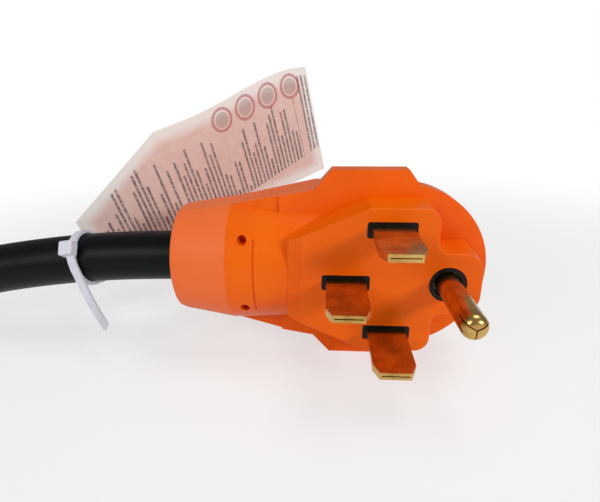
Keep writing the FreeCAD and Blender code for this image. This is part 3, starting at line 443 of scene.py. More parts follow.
@dataclass(frozen=True)
class TagCard:
    """Coated card, printed: pale pink with a white margin, ruled across its width, and four plain rings."""

    length_mm: float
    width_mm: float
    cut_length_mm: float
    cut_width_mm: float
    colour: str = "#F3D6CC"
    colour_deep: str = "#EDCABF"
    tint_range: tuple[float, float] = (0.3, 0.7)
    colour_margin: str = "#FDF8F3"
    ink: str = "#4A4048"
    ring_ink: str = "#B8505A"
    # How much of the card the ink covers in the rules, the rings and their dots
    rule_cover: float = 0.8
    ring_cover: float = 0.62
    dot_cover: float = 0.3
    # The ink thins out in flecks of this size, down to this share
    fleck_mm: float = 0.9
    fleck_range: tuple[float, float] = (0.35, 0.6)
    fleck_least: float = 0.45
    fibre_mm: float = 3.0
    fibre_depth_mm: float = 0.02
    bump: float = 0.1
    roughness: float = 0.5
    ior: float = 1.5
    sheen_level: float = 0.3
    # White up to 0.6 of this width from the edge, and gone at 1.6 of it
    margin_mm: float = 3.8
    margin_reach: float = 1.6
    rule_pitch_mm: float = 1.9
    rule_share: float = 0.52
    rule_start_mm: float = 7.0
    rule_foot_mm: float = 2.6
    foot_rise: float = 0.16
    foot_rise_start_mm: float = 55.0
    rule_head_mm: float = 34.5
    # Rules end at chance up to this far short of the head, most of them near it
    rule_spread_mm: float = 27.0
    rule_bias: float = 1.8
    # Turn and size that make a chance of a rule's number
    scatter: tuple[float, float] = (78.233, 43.758)
    cut_gap_mm: float = 3.2
    block_mm: tuple[float, float] = (104.3, 109.2)
    block_gap_mm: float = 101.0
    block_head_mm: float = 42.0
    rings: int = 4
    ring_first_mm: float = 67.1
    ring_pitch_mm: float = 11.2
    ring_height_mm: float = 39.0
    ring_radius_mm: float = 4.2
    ring_line_mm: float = 0.55
    ring_dot_mm: float = 3.0

    def rule_steps(self) -> list[tuple[Any, ...]]:
        """Sums that draw the rules.

        Returns:
            Rows of a result's name, its operation and its inputs, which are numbers or earlier names.
        """
        slope = self.cut_width_mm / self.cut_length_mm
        return [
            ("along", "MULTIPLY", "u", self.length_mm),
            ("across", "MULTIPLY", "v", self.width_mm),
            ("line", "DIVIDE", "along", self.rule_pitch_mm),
            ("number", "FLOOR", "line"),
            ("phase", "FRACT", "line"),
            ("inked", "LESS_THAN", "phase", self.rule_share),
            ("swing", "MULTIPLY", "number", self.scatter[0]),
            ("wave", "SINE", "swing"),
            ("spread", "MULTIPLY", "wave", self.scatter[1]),
            ("chance", "FRACT", "spread"),
            ("short", "POWER", "chance", self.rule_bias),
            ("cut", "MULTIPLY", "short", self.rule_spread_mm),
            ("top", "SUBTRACT", self.rule_head_mm, "cut"),
            ("slant", "MULTIPLY_ADD", "along", slope, self.width_mm - self.cut_width_mm),
            ("under_slant", "SUBTRACT", "slant", self.cut_gap_mm),
            ("head", "MINIMUM", "top", "under_slant"),
            ("plain", "LESS_THAN", "along", self.block_gap_mm),
            ("plain_head", "MULTIPLY", "head", "plain"),
            ("after", "GREATER_THAN", "along", self.block_mm[0]),
            ("before", "LESS_THAN", "along", self.block_mm[1]),
            ("block", "MULTIPLY", "after", "before"),
            ("block_head", "MULTIPLY", "block", self.block_head_mm),
            ("any_head", "MAXIMUM", "plain_head", "block_head"),
            ("started", "GREATER_THAN", "along", self.rule_start_mm),
            ("past", "SUBTRACT", "along", self.foot_rise_start_mm),
            ("only_past", "MAXIMUM", "past", 0.0),
            ("foot", "MULTIPLY_ADD", "only_past", self.foot_rise, self.rule_foot_mm),
            ("above_foot", "GREATER_THAN", "across", "foot"),
            ("below_head", "LESS_THAN", "across", "any_head"),
            ("inside", "MULTIPLY", "above_foot", "below_head"),
            ("drawn", "MULTIPLY", "inside", "started"),
            ("rule", "MULTIPLY", "drawn", "inked"),
            ("ruled", "MULTIPLY", "rule", "ink_flow"),
        ]

    def ring_steps(self) -> list[tuple[Any, ...]]:
        """Sums that draw the rings and their dots.

        Returns:
            Rows as those of the rules.
        """
        rows: list[tuple[Any, ...]] = [("ringed", "ADD", 0.0, 0.0), ("dotted", "ADD", 0.0, 0.0)]
        for index in range(self.rings):
            centre = self.ring_first_mm + self.ring_pitch_mm * index
            rows += [
                ("x", "SUBTRACT", "along", centre),
                ("y", "SUBTRACT", "across", self.ring_height_mm),
                ("xx", "MULTIPLY", "x", "x"),
                ("sum", "MULTIPLY_ADD", "y", "y", "xx"),
                ("far", "SQRT", "sum"),
                ("off", "SUBTRACT", "far", self.ring_radius_mm),
                ("gap", "ABSOLUTE", "off"),
                ("on_line", "LESS_THAN", "gap", self.ring_line_mm),
                ("ringed", "MAXIMUM", "ringed", "on_line"),
                ("on_dot", "LESS_THAN", "far", self.ring_dot_mm),
                ("dotted", "MAXIMUM", "dotted", "on_dot"),
            ]
        return rows

    def margin_steps(self) -> list[tuple[Any, ...]]:
        """Sums that draw the margin, and thin the inks.

        Returns:
            Rows as those of the rules.
        """
        return [
            ("from_top", "SUBTRACT", self.width_mm, "across"),
            ("from_end", "SUBTRACT", self.length_mm, "along"),
            ("from_cut", "SUBTRACT", "slant", "across"),
            ("edge", "MINIMUM", "from_top", "from_end"),
            ("edge", "MINIMUM", "edge", "from_cut"),
            ("edge", "MINIMUM", "edge", "along"),
            ("edge", "MINIMUM", "edge", "across"),
            ("margin_share", "DIVIDE", "edge", self.margin_mm),
            ("margin", "SUBTRACT", self.margin_reach, "margin_share"),
            ("ruled_share", "MULTIPLY", "ruled", self.rule_cover),
            ("ringed_share", "MULTIPLY", "ringed", self.ring_cover),
            ("dotted_share", "MULTIPLY", "dotted", self.dot_cover),
        ]

    def build(self) -> bpy.types.Material:
        """Make the material.

        Returns:
            The material, for a piece whose UV map runs from 0 to 1 along and across the card.
        """
        material, tree = start_material("coated_tag_card")
        uv = node(tree, "ShaderNodeTexCoord").outputs["UV"]
        split = node(tree, "ShaderNodeSeparateXYZ", {0: uv})
        place = node(tree, "ShaderNodeTexCoord").outputs["Object"]
        flecks = node(
            tree, "ShaderNodeTexNoise", {"Vector": place, "Scale": per_mm(self.fleck_mm), "Detail": 1.0}
        )
        low, high = self.fleck_range
        ink_flow = node(
            tree,
            "ShaderNodeMapRange",
            {"Value": flecks.outputs["Fac"], "From Min": low, "From Max": high, "To Min": self.fleck_least},
        ).outputs[0]
        named: dict[str, Any] = {"u": split.outputs["X"], "v": split.outputs["Y"], "ink_flow": ink_flow}
        for name, operation, *terms in self.rule_steps() + self.ring_steps() + self.margin_steps():
            values = {index: named.get(term, term) for index, term in enumerate(terms)}
            named[name] = node(tree, "ShaderNodeMath", values, operation=operation).outputs[0]
        margin = node(tree, "ShaderNodeClamp", {"Value": named["margin"]}).outputs[0]
        fibre = node(
            tree, "ShaderNodeTexNoise", {"Vector": place, "Scale": per_mm(self.fibre_mm), "Detail": 4.0}
        ).outputs["Fac"]
        colour = node(
            tree,
            "ShaderNodeValToRGB",
            {"Fac": fibre},
            list(zip(self.tint_range, (self.colour_deep, self.colour))),
        ).outputs["Color"]
        for share, ink in (
            (margin, self.colour_margin),
            (named["ruled_share"], self.ink),
            (named["dotted_share"], self.ink),
            (named["ringed_share"], self.ring_ink),
        ):
            values = {0: share, 6: colour, 7: linear(ink)}
            colour = node(tree, "ShaderNodeMix", values, data_type="RGBA").outputs[2]
        depth = self.fibre_depth_mm * MILLIMETRE
        bump = node(tree, "ShaderNodeBump", {"Strength": self.bump, "Distance": depth, "Height": fibre})
        shader = node(
            tree,
            "ShaderNodeBsdfPrincipled",
            {
                "Base Color": colour,
                "Roughness": self.roughness,
                "IOR": self.ior,
                "Specular IOR Level": self.sheen_level,
                "Normal": bump.outputs["Normal"],
            },
        )
        node(tree, "ShaderNodeOutputMaterial", {"Surface": shader.outputs[0]})
        return material


@dataclass(frozen=True)
class StudioSheet:
    """Matt white paper under the part, which fades to a white background away from it."""

    colour: str = "#F2F1F3"
    roughness: float = 0.9
    fade_mm: tuple[float, float] = (120.0, 420.0)
    # Share of the sheet under the part that is shown as plain white
    base_share: float = 0.62

    def build(self) -> bpy.types.Material:
        """Make the material.

        Returns:
            The material.
        """
        material, tree = start_material("matte_studio_paper")
        place = node(tree, "ShaderNodeTexCoord").outputs["Object"]
        far = node(tree, "ShaderNodeVectorMath", {0: place}, operation="LENGTH").outputs["Value"]
        start, end = (place_mm * MILLIMETRE for place_mm in self.fade_mm)
        fade = node(
            tree,
            "ShaderNodeMapRange",
            {"Value": far, "From Min": start, "From Max": end, "To Min": self.base_share},
            interpolation_type="SMOOTHSTEP",
        ).outputs[0]
        path = node(tree, "ShaderNodeLightPath")
        seen = path.outputs["Is Camera Ray"]
        for ray in ("Is Glossy Ray", "Is Transmission Ray"):
            either = node(tree, "ShaderNodeMath", {0: seen, 1: path.outputs[ray]}, operation="MAXIMUM")
            seen = either.outputs[0]
        share = node(tree, "ShaderNodeMath", {0: seen, 1: fade}, operation="MULTIPLY").outputs[0]
        values = {"Base Color": linear(self.colour), "Roughness": self.roughness}
        paper = node(tree, "ShaderNodeBsdfPrincipled", values)
        white = node(tree, "ShaderNodeEmission", {"Color": WHITE, "Strength": 1.0})
        mixed = node(tree, "ShaderNodeMixShader", {0: share, 1: paper.outputs[0], 2: white.outputs[0]})
        node(tree, "ShaderNodeOutputMaterial", {"Surface": mixed.outputs[0]})
        return material


def add_object(name: str, data: bpy.types.ID) -> bpy.types.Object:
    """Put an object into the scene, at the origin.

    Args:
        name: Name of the object.
        data: Its mesh, curve, light or camera.

    Returns:
        The new object.
    """
    made = bpy.data.objects.new(name, data)
    bpy.context.scene.collection.objects.link(made)
    return made


def new_piece(name: str, form: bmesh.types.BMesh | None = None) -> bpy.types.Object:
    """Piece with a mesh of the same name.

    Args:
        name: Name of the piece.
        form: What the mesh holds, freed here, or None for an empty one.

    Returns:
        The piece, not yet on a body.
    """
    mesh = bpy.data.meshes.new(name)
    if form is not None:
        form.to_mesh(mesh)
        form.free()
    return add_object(name, mesh)


def settle(piece: bpy.types.Object) -> bpy.types.Object:
    """Turn a piece with modifiers into a plain mesh.

    Args:
        piece: Object whose modifiers are applied.

    Returns:
        The same object with its evaluated mesh and no modifiers.
    """
    graph = bpy.context.evaluated_depsgraph_get()
    mesh = bpy.data.meshes.new_from_object(piece.evaluated_get(graph), depsgraph=graph)
    piece.modifiers.clear()
    piece.data = mesh
    mesh.name = piece.name
    return piece


def smooth(piece: bpy.types.Object, sharp_degrees: float = SHADING_DEGREES) -> None:
    """Shade a mesh smooth.

    Args:
        piece: Piece with the mesh.
        sharp_degrees: Edges that turn more than this stay sharp.
    """
    mesh = piece.data
    for face in mesh.polygons:
        face.use_smooth = True
    mesh.set_sharp_from_angle(angle=math.radians(sharp_degrees))


def is_crease(edge: bmesh.types.BMEdge) -> bool:
    """Whether an edge of a solid's mesh is a real edge, and not one between two facets of a curve.

    Args:
        edge: Edge with its faces.

    Returns:
        True for a sharp edge, and for a blunt one between two wide faces.
    """
    if len(edge.link_faces) != 2:
        return False
    turn = math.degrees(edge.calc_face_angle(0.0))
    if turn > SHARP_DEGREES:
        return True
    length = edge.calc_length()
    narrow = NARROW_MM * MILLIMETRE
    if turn <= BLUNT_DEGREES or length <= narrow:
        return False
    return min(face.calc_area() for face in edge.link_faces) / length > narrow


def softened_copy(
    cad: str,
    name: str,
    width_mm: float,
    reshape: Callable[[Vector], Vector] | None = None,
) -> bpy.types.Object:
    """Copy of a CAD node with rounded edges.

    Args:
        cad: Name of the CAD node.
        name: Name of the new piece.
        width_mm: Width of the rounding.
        reshape: Moves a corner, given and returned in the plug's own millimetres.

    Returns:
        The new piece, not yet on a body.
    """
    form = bmesh.new()
    form.from_mesh(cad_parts[cad].data)
    bmesh.ops.remove_doubles(form, verts=form.verts, dist=MERGE_MM * MILLIMETRE)
    bmesh.ops.dissolve_degenerate(form, edges=form.edges, dist=SLIVER_MM * MILLIMETRE)
    bmesh.ops.dissolve_limit(
        form, verts=form.verts, edges=form.edges, angle_limit=math.radians(FLAT_DEGREES)
    )
    if reshape is not None:
        for corner in form.verts:
            corner.co = plug_mm(*reshape(corner.co / MILLIMETRE - Vector(PLUG_ZERO_MM)))
    weights = form.edges.layers.float.new("bevel_weight_edge")
    for edge in form.edges:
        edge[weights] = 1.0 if is_crease(edge) else 0.0
    piece = new_piece(name, form)
    bevel = piece.modifiers.new("rounding", "BEVEL")
    bevel.width = width_mm * MILLIMETRE
    bevel.segments = ROUNDING_STEPS
    bevel.limit_method = "WEIGHT"
    bevel.use_clamp_overlap = True
    settle(piece)
    smooth(piece)
    # Wide faces keep their own direction, so that the light turns on the rounding alone
    even = piece.modifiers.new("even", "WEIGHTED_NORMAL")
    even.mode = "FACE_AREA"
    even.keep_sharp = True
    return settle(piece)


def chain(stops: tuple[tuple[float, float], ...], place: float) -> float:
    """Value on a chain of straight lines.

    Args:
        stops: Places and values, in rising order of place.
        place: Where the value is wanted.

    Returns:
        The value, level beyond both ends.
    """
    if place <= stops[0][0]:
        return stops[0][1]
    for (low, first), (high, second) in zip(stops, stops[1:]):
        if place <= high:
            return first + (second - first) * (place - low) / (high - low)
    return stops[-1][1]


def share_of(low: float, high: float, place: float) -> float:
    """Share of the way from one place to another, from 0 to 1."""
    return min(max((place - low) / (high - low), 0.0), 1.0)


def eased(low: float, high: float, place: float) -> float:
    """Share that rises smoothly from 0 to 1 between two places."""
    share = share_of(low, high, place)
    return share * share * (3.0 - 2.0 * share)


def start_pattern(name: str, inputs: dict[str, str]) -> tuple[bpy.types.NodeTree, bpy.types.Node]:
    """Geometry Nodes tree with named inputs.

    Args:
        name: Name of the tree.
        inputs: Name of each input to Blender's name of its socket type.

    Returns:
        The tree and its input node.
    """
    tree = bpy.data.node_groups.new(name, "GeometryNodeTree")
    for title, kind in inputs.items():
        tree.interface.new_socket(name=title, in_out="INPUT", socket_type=kind)
    tree.interface.new_socket(name="Geometry", in_out="OUTPUT", socket_type="NodeSocketGeometry")
    return tree, node(tree, "NodeGroupInput")


def end_pattern(tree: bpy.types.NodeTree, shape: bpy.types.NodeSocket, given: bpy.types.Node) -> None:
    """Realise a pattern's shape, give it its material and put it out.

    Args:
        tree: Tree of the pattern.
        shape: Finished geometry.
        given: Input node of the tree, which has a material.
    """
    real = node(tree, "GeometryNodeRealizeInstances", {"Geometry": shape})
    dressed = node(
        tree,
        "GeometryNodeSetMaterial",
        {"Geometry": real.outputs[0], "Material": given.outputs["Material"]},
    )
    node(tree, "NodeGroupOutput", {"Geometry": dressed.outputs[0]})


def grown(name: str, tree: bpy.types.NodeTree, values: dict[str, Any]) -> bpy.types.Object:
    """Run a Geometry Nodes tree once and keep its result.

    Args:
        name: Name of the piece.
        tree: Tree with named inputs.
        values: Name of each input to its value.

    Returns:
        The piece as a plain mesh, not yet on a body.
    """
    piece = new_piece(name)
    pattern = piece.modifiers.new("pattern", "NODES")
    pattern.node_group = tree
    for item in tree.interface.items_tree:
        if item.in_out == "INPUT":
            pattern[item.identifier] = values[item.name]
    return settle(piece)


def dress(piece: bpy.types.Object, material: bpy.types.Material) -> None:
    """Give a new piece its only material.

    Args:
        piece: Piece that is dressed.
        material: Its finish.
    """
    piece.data.materials.clear()
    piece.data.materials.append(material)


def dress_cad(names: list[str], material: bpy.types.Material) -> None:
    """Give CAD nodes that stay as they are a better material.

    Args:
        names: Names of the nodes.
        material: Their finish.
    """
    for name in names:
        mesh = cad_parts[name].data
        mesh.materials.clear()
        mesh.materials.append(material)
        LOG.info("kept %s", name)


def stand_in(piece: bpy.types.Object, body: Body, *cad: str) -> None:
    """Put a piece on its body, and report it.

    Args:
        piece: Piece that rides.
        body: Body that it rides on.
        *cad: Names of the CAD nodes that it replaces.
    """
    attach(piece, body.value)
    if cad:
        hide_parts(*cad)
    LOG.info("%s for %s", piece.name, ", ".join(cad) or "no node")


@dataclass
class Plug:
    """The moulded plug: shell, black carrier, three folded blades and the ground pin."""

    rounding_mm: float = 0.45
    blade_rounding_mm: float = 0.12
    pin_rounding_mm: float = 0.15
    # Ridge and seam lie where the photograph has them: place on the solid, and move along the plug
    moves_mm: tuple[tuple[float, float], ...] = (
        (-69.0, 0.0),
        (-53.5, 3.3),
        (-52.9, 3.3),
        (-47.0, 0.0),
        (-43.0, 0.0),
        (-39.5, -2.7),
        (-38.5, -2.7),
        (-34.5, 0.0),
    )
    # The shoulder of the pin's root is the corners at this depth, and sinks this much deeper
    pin_root_mm: float = 0.25
    pin_root_reach_mm: float = 0.05
    pin_root_move_mm: float = 5.0
    crown_radius_mm: float = 20.8
    crown_span_mm: tuple[float, float] = (-25.2, -6.5)
    crown_steps: int = 48
    # Place along the plug, half height, front and rear of the neck's last cross-sections
    neck_mm: tuple[tuple[float, float, float, float], ...] = (
        (-24.2, 25.44, 12.6, 32.3),
        (-22.8, 25.68, 12.47, 32.3),
        (-11.5, 27.6, 12.53, 19.4),
    )
    # Foot of the first rib's line, which stands clear in front of the bevel
    rib_first_mm: tuple[float, float, float] = (-30.0, -20.0, 22.9)
    rib_step_mm: float = 0.95
    rib_length_mm: float = 22.0
    rib_radius_mm: float = 0.13
    rib_reach_mm: float = 40.0
    rib_points: int = 24
    rib_sides: int = 8
    ribs: int = 4

    def moved(self, place: Vector) -> Vector:
        """Corner of the shell at its place along the plug in the photograph."""
        return place + Vector((chain(self.moves_mm, place.x), 0.0, 0.0))

    def sunk(self, place: Vector) -> Vector:
        """Corner of the pin, with the shoulder of its root sunk into the carrier."""
        at_root = abs(place.y - self.pin_root_mm) < self.pin_root_reach_mm
        return place + Vector((0.0, self.pin_root_move_mm if at_root else 0.0, 0.0))

    def crown_fill(self) -> bpy.types.Object:
        """Front half of the crown's barrel where it runs on under the boss.

        Returns:
            The piece, not yet on a body.
        """
        form = bmesh.new()
        ends = []
        for x in self.crown_span_mm:
            ring = []
            for index in range(self.crown_steps + 1):
                turn = math.pi * index / self.crown_steps
                rise = self.crown_radius_mm * math.cos(turn)
                front = CORD_DEPTH_MM - self.crown_radius_mm * math.sin(turn)
                ring.append(form.verts.new(plug_mm(x, front, AXIS_HEIGHT_MM + rise)))
            ends.append(ring)
        near, far = ends
        for index in range(self.crown_steps):
            form.faces.new((near[index], near[index + 1], far[index + 1], far[index]))
        form.faces.new((near[-1], near[0], far[0], far[-1]))
        form.faces.new(near[::-1])
        form.faces.new(far)
        bmesh.ops.recalc_face_normals(form, faces=form.faces)
        return new_piece("crown_run", form)

    def neck_fill(self) -> bpy.types.Object:
        """Run of the neck into the wings.

        Returns:
            The piece, not yet on a body.
        """
        form = bmesh.new()
        for x, half, front, rear in self.neck_mm:
            for side in (-half, half):
                for depth in (front, rear):
                    form.verts.new(plug_mm(x, depth, AXIS_HEIGHT_MM + side))
        bmesh.ops.convex_hull(form, input=form.verts)
        bmesh.ops.recalc_face_normals(form, faces=form.faces)
        return new_piece("neck_run", form)

    def bevel_ribs(self, shell: bpy.types.Object, vinyl: bpy.types.Material) -> bpy.types.Object:
        """Fine upright ribs on the boss's bevel, laid on the shell.

        Args:
            shell: Piece that carries the ribs.
            vinyl: Finish of the shell.

        Returns:
            The ribs, not yet on a body.
        """
        x, y, z = self.rib_first_mm
        table = {
            "Shell": ("NodeSocketObject", shell),
            "First": ("NodeSocketVector", plug_mm(x, y, z)),
            "Last": ("NodeSocketVector", plug_mm(x, y, z + self.rib_length_mm)),
            "Points": ("NodeSocketInt", self.rib_points),
            "Step": ("NodeSocketFloat", self.rib_step_mm * MILLIMETRE),
            "Count": ("NodeSocketInt", self.ribs),
            "Reach": ("NodeSocketFloat", self.rib_reach_mm * MILLIMETRE),
            "Rib Radius": ("NodeSocketFloat", self.rib_radius_mm * MILLIMETRE),
            "Rib Sides": ("NodeSocketInt", self.rib_sides),
            "Material": ("NodeSocketMaterial", vinyl),
        }
        tree, given = start_pattern("bevel_ribs", {name: kind for name, (kind, _) in table.items()})
        line = node(
            tree,
            "GeometryNodeCurvePrimitiveLine",
            {"Start": given.outputs["First"], "End": given.outputs["Last"]},
        )
        even = node(
            tree, "GeometryNodeResampleCurve", {"Curve": line.outputs[0], "Count": given.outputs["Points"]}
        )
        row = node(
            tree,
            "GeometryNodeDuplicateElements",
            {"Geometry": even.outputs[0], "Amount": given.outputs["Count"]},
            domain="SPLINE",
        )
        aside = node(
            tree,
            "ShaderNodeMath",
            {0: row.outputs["Duplicate Index"], 1: given.outputs["Step"]},
            operation="MULTIPLY",
        )
        offset = node(tree, "ShaderNodeCombineXYZ", {"X": aside.outputs[0]})
        spread = node(
            tree, "GeometryNodeSetPosition", {"Geometry": row.outputs[0], "Offset": offset.outputs[0]}
        )
        target = node(tree, "GeometryNodeObjectInfo", {"Object": given.outputs["Shell"]})
        hit = node(
            tree,
            "GeometryNodeRaycast",
            {
                "Target Geometry": target.outputs["Geometry"],
                "Ray Direction": (0.0, 1.0, 0.0),
                "Ray Length": given.outputs["Reach"],
            },
        )
        laid = node(
            tree,
            "GeometryNodeSetPosition",
            {"Geometry": spread.outputs[0], "Position": hit.outputs["Hit Position"]},
        )
        outline = node(
            tree,
            "GeometryNodeCurvePrimitiveCircle",
            {"Resolution": given.outputs["Rib Sides"], "Radius": given.outputs["Rib Radius"]},
        )
        solid = node(
            tree,
            "GeometryNodeCurveToMesh",
            {"Curve": laid.outputs[0], "Profile Curve": outline.outputs[0], "Fill Caps": True},
        )
        end_pattern(tree, solid.outputs[0], given)
        return grown("bevel_ribs", tree, {name: value for name, (_, value) in table.items()})

    def build(
        self, vinyl: bpy.types.Material, nylon: bpy.types.Material, brass: bpy.types.Material
    ) -> None:
        """Make and dress the plug.

        Args:
            vinyl: Finish of the shell.
            nylon: Finish of the carrier.
            brass: Finish of the blades and the pin.
        """
        shell = softened_copy("plug_body", "plug_shell", self.rounding_mm, self.moved)
        dress(shell, vinyl)
        stand_in(shell, Body.CORD_SET, "plug_body")
        for extra in (self.crown_fill(), self.neck_fill(), self.bevel_ribs(shell, vinyl)):
            smooth(extra)
            dress(extra, vinyl)
            stand_in(extra, Body.CORD_SET)
        for cad, name in (
            ("line_blade", "upper_blade"),
            ("idle_line_blade", "lower_blade"),
            ("neutral_blade", "middle_blade"),
        ):
            metal = softened_copy(cad, name, self.blade_rounding_mm)
            dress(metal, brass)
            stand_in(metal, Body.CORD_SET, cad)
        pin = softened_copy("ground_pin", "round_pin", self.pin_rounding_mm, self.sunk)
        dress(pin, brass)
        stand_in(pin, Body.CORD_SET, "ground_pin")
        dress_cad(["blade_carrier"], nylon)


@dataclass
class Connector:
    """The far end: ribbed body, black insert with three curved slots, gasket and coupling ring."""

    rounding_mm: float = 0.3
    ring_rounding_mm: float = 0.35
    # The thread starts this far along the connector's axis
    thread_start_mm: float = 93.2
    thread_bore_mm: float = 27.25
    thread_radius_mm: float = 0.95
    thread_pitch_mm: float = 3.1
    thread_turns: float = 5.0
    steps_per_turn: int = 72
    thread_sides: int = 10
    # Above the turn from one of the thread's sides to the next
    thread_sharp_degrees: float = 50.0

    def thread(self, vinyl: bpy.types.Material) -> bpy.types.Object:
        """Moulded round thread inside the coupling ring.

        Args:
            vinyl: Finish of the ring.

        Returns:
            The thread, not yet on a body.
        """
        x, y, z = FAR_ZERO_MM
        height_mm = self.thread_turns * self.thread_pitch_mm
        table = {
            "Bore": ("NodeSocketFloat", self.thread_bore_mm * MILLIMETRE),
            "Turns": ("NodeSocketFloat", self.thread_turns),
            "Steps": ("NodeSocketInt", self.steps_per_turn),
            "Height": ("NodeSocketFloat", height_mm * MILLIMETRE),
            "Thread Radius": ("NodeSocketFloat", self.thread_radius_mm * MILLIMETRE),
            "Thread Sides": ("NodeSocketInt", self.thread_sides),
            "Start": ("NodeSocketVector", plug_mm(x, y - self.thread_start_mm, z)),
            "Turn": ("NodeSocketVector", Vector((math.radians(90.0), 0.0, 0.0))),
            "Material": ("NodeSocketMaterial", vinyl),
        }
        tree, given = start_pattern("ring_thread", {name: kind for name, (kind, _) in table.items()})
        helix = node(
            tree,
            "GeometryNodeCurveSpiral",
            {
                "Resolution": given.outputs["Steps"],
                "Rotations": given.outputs["Turns"],
                "Start Radius": given.outputs["Bore"],
                "End Radius": given.outputs["Bore"],
                "Height": given.outputs["Height"],
            },
        )
        outline = node(
            tree,
            "GeometryNodeCurvePrimitiveCircle",
            {"Resolution": given.outputs["Thread Sides"], "Radius": given.outputs["Thread Radius"]},
        )
        solid = node(
            tree,
            "GeometryNodeCurveToMesh",
            {"Curve": helix.outputs[0], "Profile Curve": outline.outputs[0], "Fill Caps": True},
        )
        placed = node(
            tree,
            "GeometryNodeTransform",
            {
                "Geometry": solid.outputs[0],
                "Translation": given.outputs["Start"],
                "Rotation": given.outputs["Turn"],
            },
        )
        end_pattern(tree, placed.outputs[0], given)
        return grown("ring_thread", tree, {name: value for name, (_, value) in table.items()})

    def build(
        self, vinyl: bpy.types.Material, nylon: bpy.types.Material, rubber: bpy.types.Material
    ) -> None:
        """Make and dress the connector.

        Args:
            vinyl: Finish of the body and the ring.
            nylon: Finish of the insert.
            rubber: Finish of the gasket.
        """
        body = softened_copy("connector_body", "connector_shell", self.rounding_mm)
        dress(body, vinyl)
        stand_in(body, Body.CORD_SET, "connector_body")
        ring = softened_copy("coupling_ring", "grip_ring", self.ring_rounding_mm)
        dress(ring, vinyl)
        stand_in(ring, Body.RING, "coupling_ring")
        thread = self.thread(vinyl)
        smooth(thread, self.thread_sharp_degrees)
        dress(thread, vinyl)
        stand_in(thread, Body.RING)
        dress_cad(["connector_insert", "insert_core", "insert_webs"], nylon)
        dress_cad(["face_gasket"], rubber)


@dataclass
class Cord:
    """The cord: one smooth curve along the same points as its solid."""

    radius_mm: float = 8.75
    length_mm: float = 347.0
    # Places along the plug of the cord's cut end in the moulding and of the next point
    start_mm: float = -50.0
    lead_mm: float = -84.0
    # The last point but one stands this far before the connector's zero, and the last this far past it
    far_before_mm: float = 13.0
    far_past_mm: float = 14.0
    round_steps: int = 12
    steps_per_point: int = 12

    def route(self) -> list[Vector]:
        """Control points of the cord.

        Returns:
            The points, from the cut end in the plug to the one in the connector.
        """
        far_x, far_y, far_z = FAR_ZERO_MM
        return [
            plug_mm(self.start_mm, CORD_DEPTH_MM, AXIS_HEIGHT_MM),
            plug_mm(self.lead_mm, CORD_DEPTH_MM, AXIS_HEIGHT_MM),
            plug_mm(-118.0, 22.3, 29.0),
            plug_mm(-149.0, 20.2, 24.3),
            plug_mm(-178.0, 13.8, 17.4),
            plug_mm(-205.0, 2.6, 11.6),
            plug_mm(-228.0, -15.0, 9.4),
            plug_mm(-245.4, -38.2, 9.6),
            plug_mm(-256.3, -65.1, 13.4),
            plug_mm(-261.1, -92.2, 21.2),
            plug_mm(-262.2, -117.0, 28.9),
            plug_mm(far_x, far_y + self.far_before_mm, far_z),
            plug_mm(far_x, far_y - self.far_past_mm, far_z),
        ]

    def build(self, jacket: bpy.types.Material, riders: list[str]) -> None:
        """Args:
            jacket: Finish of the jacket.
            riders: Names of pieces and CAD nodes; not used.
        """
        curve = bpy.data.curves.new("black_cord", "CURVE")
        curve.dimensions = "3D"
        curve.bevel_depth = self.radius_mm * MILLIMETRE
        curve.bevel_resolution = self.round_steps
        curve.resolution_u = self.steps_per_point
        curve.use_fill_caps = True
        spline = curve.splines.new("NURBS")
        points = self.route()
        spline.points.add(len(points) - 1)
        for point, place in zip(spline.points, points):
            point.co = (*place, 1.0)
        spline.order_u = 3
        spline.use_endpoint_u = True
        cord = add_object("black_cord", curve)
        dress(cord, jacket)
        stand_in(cord, Body.CORD_SET, "cord_jacket")


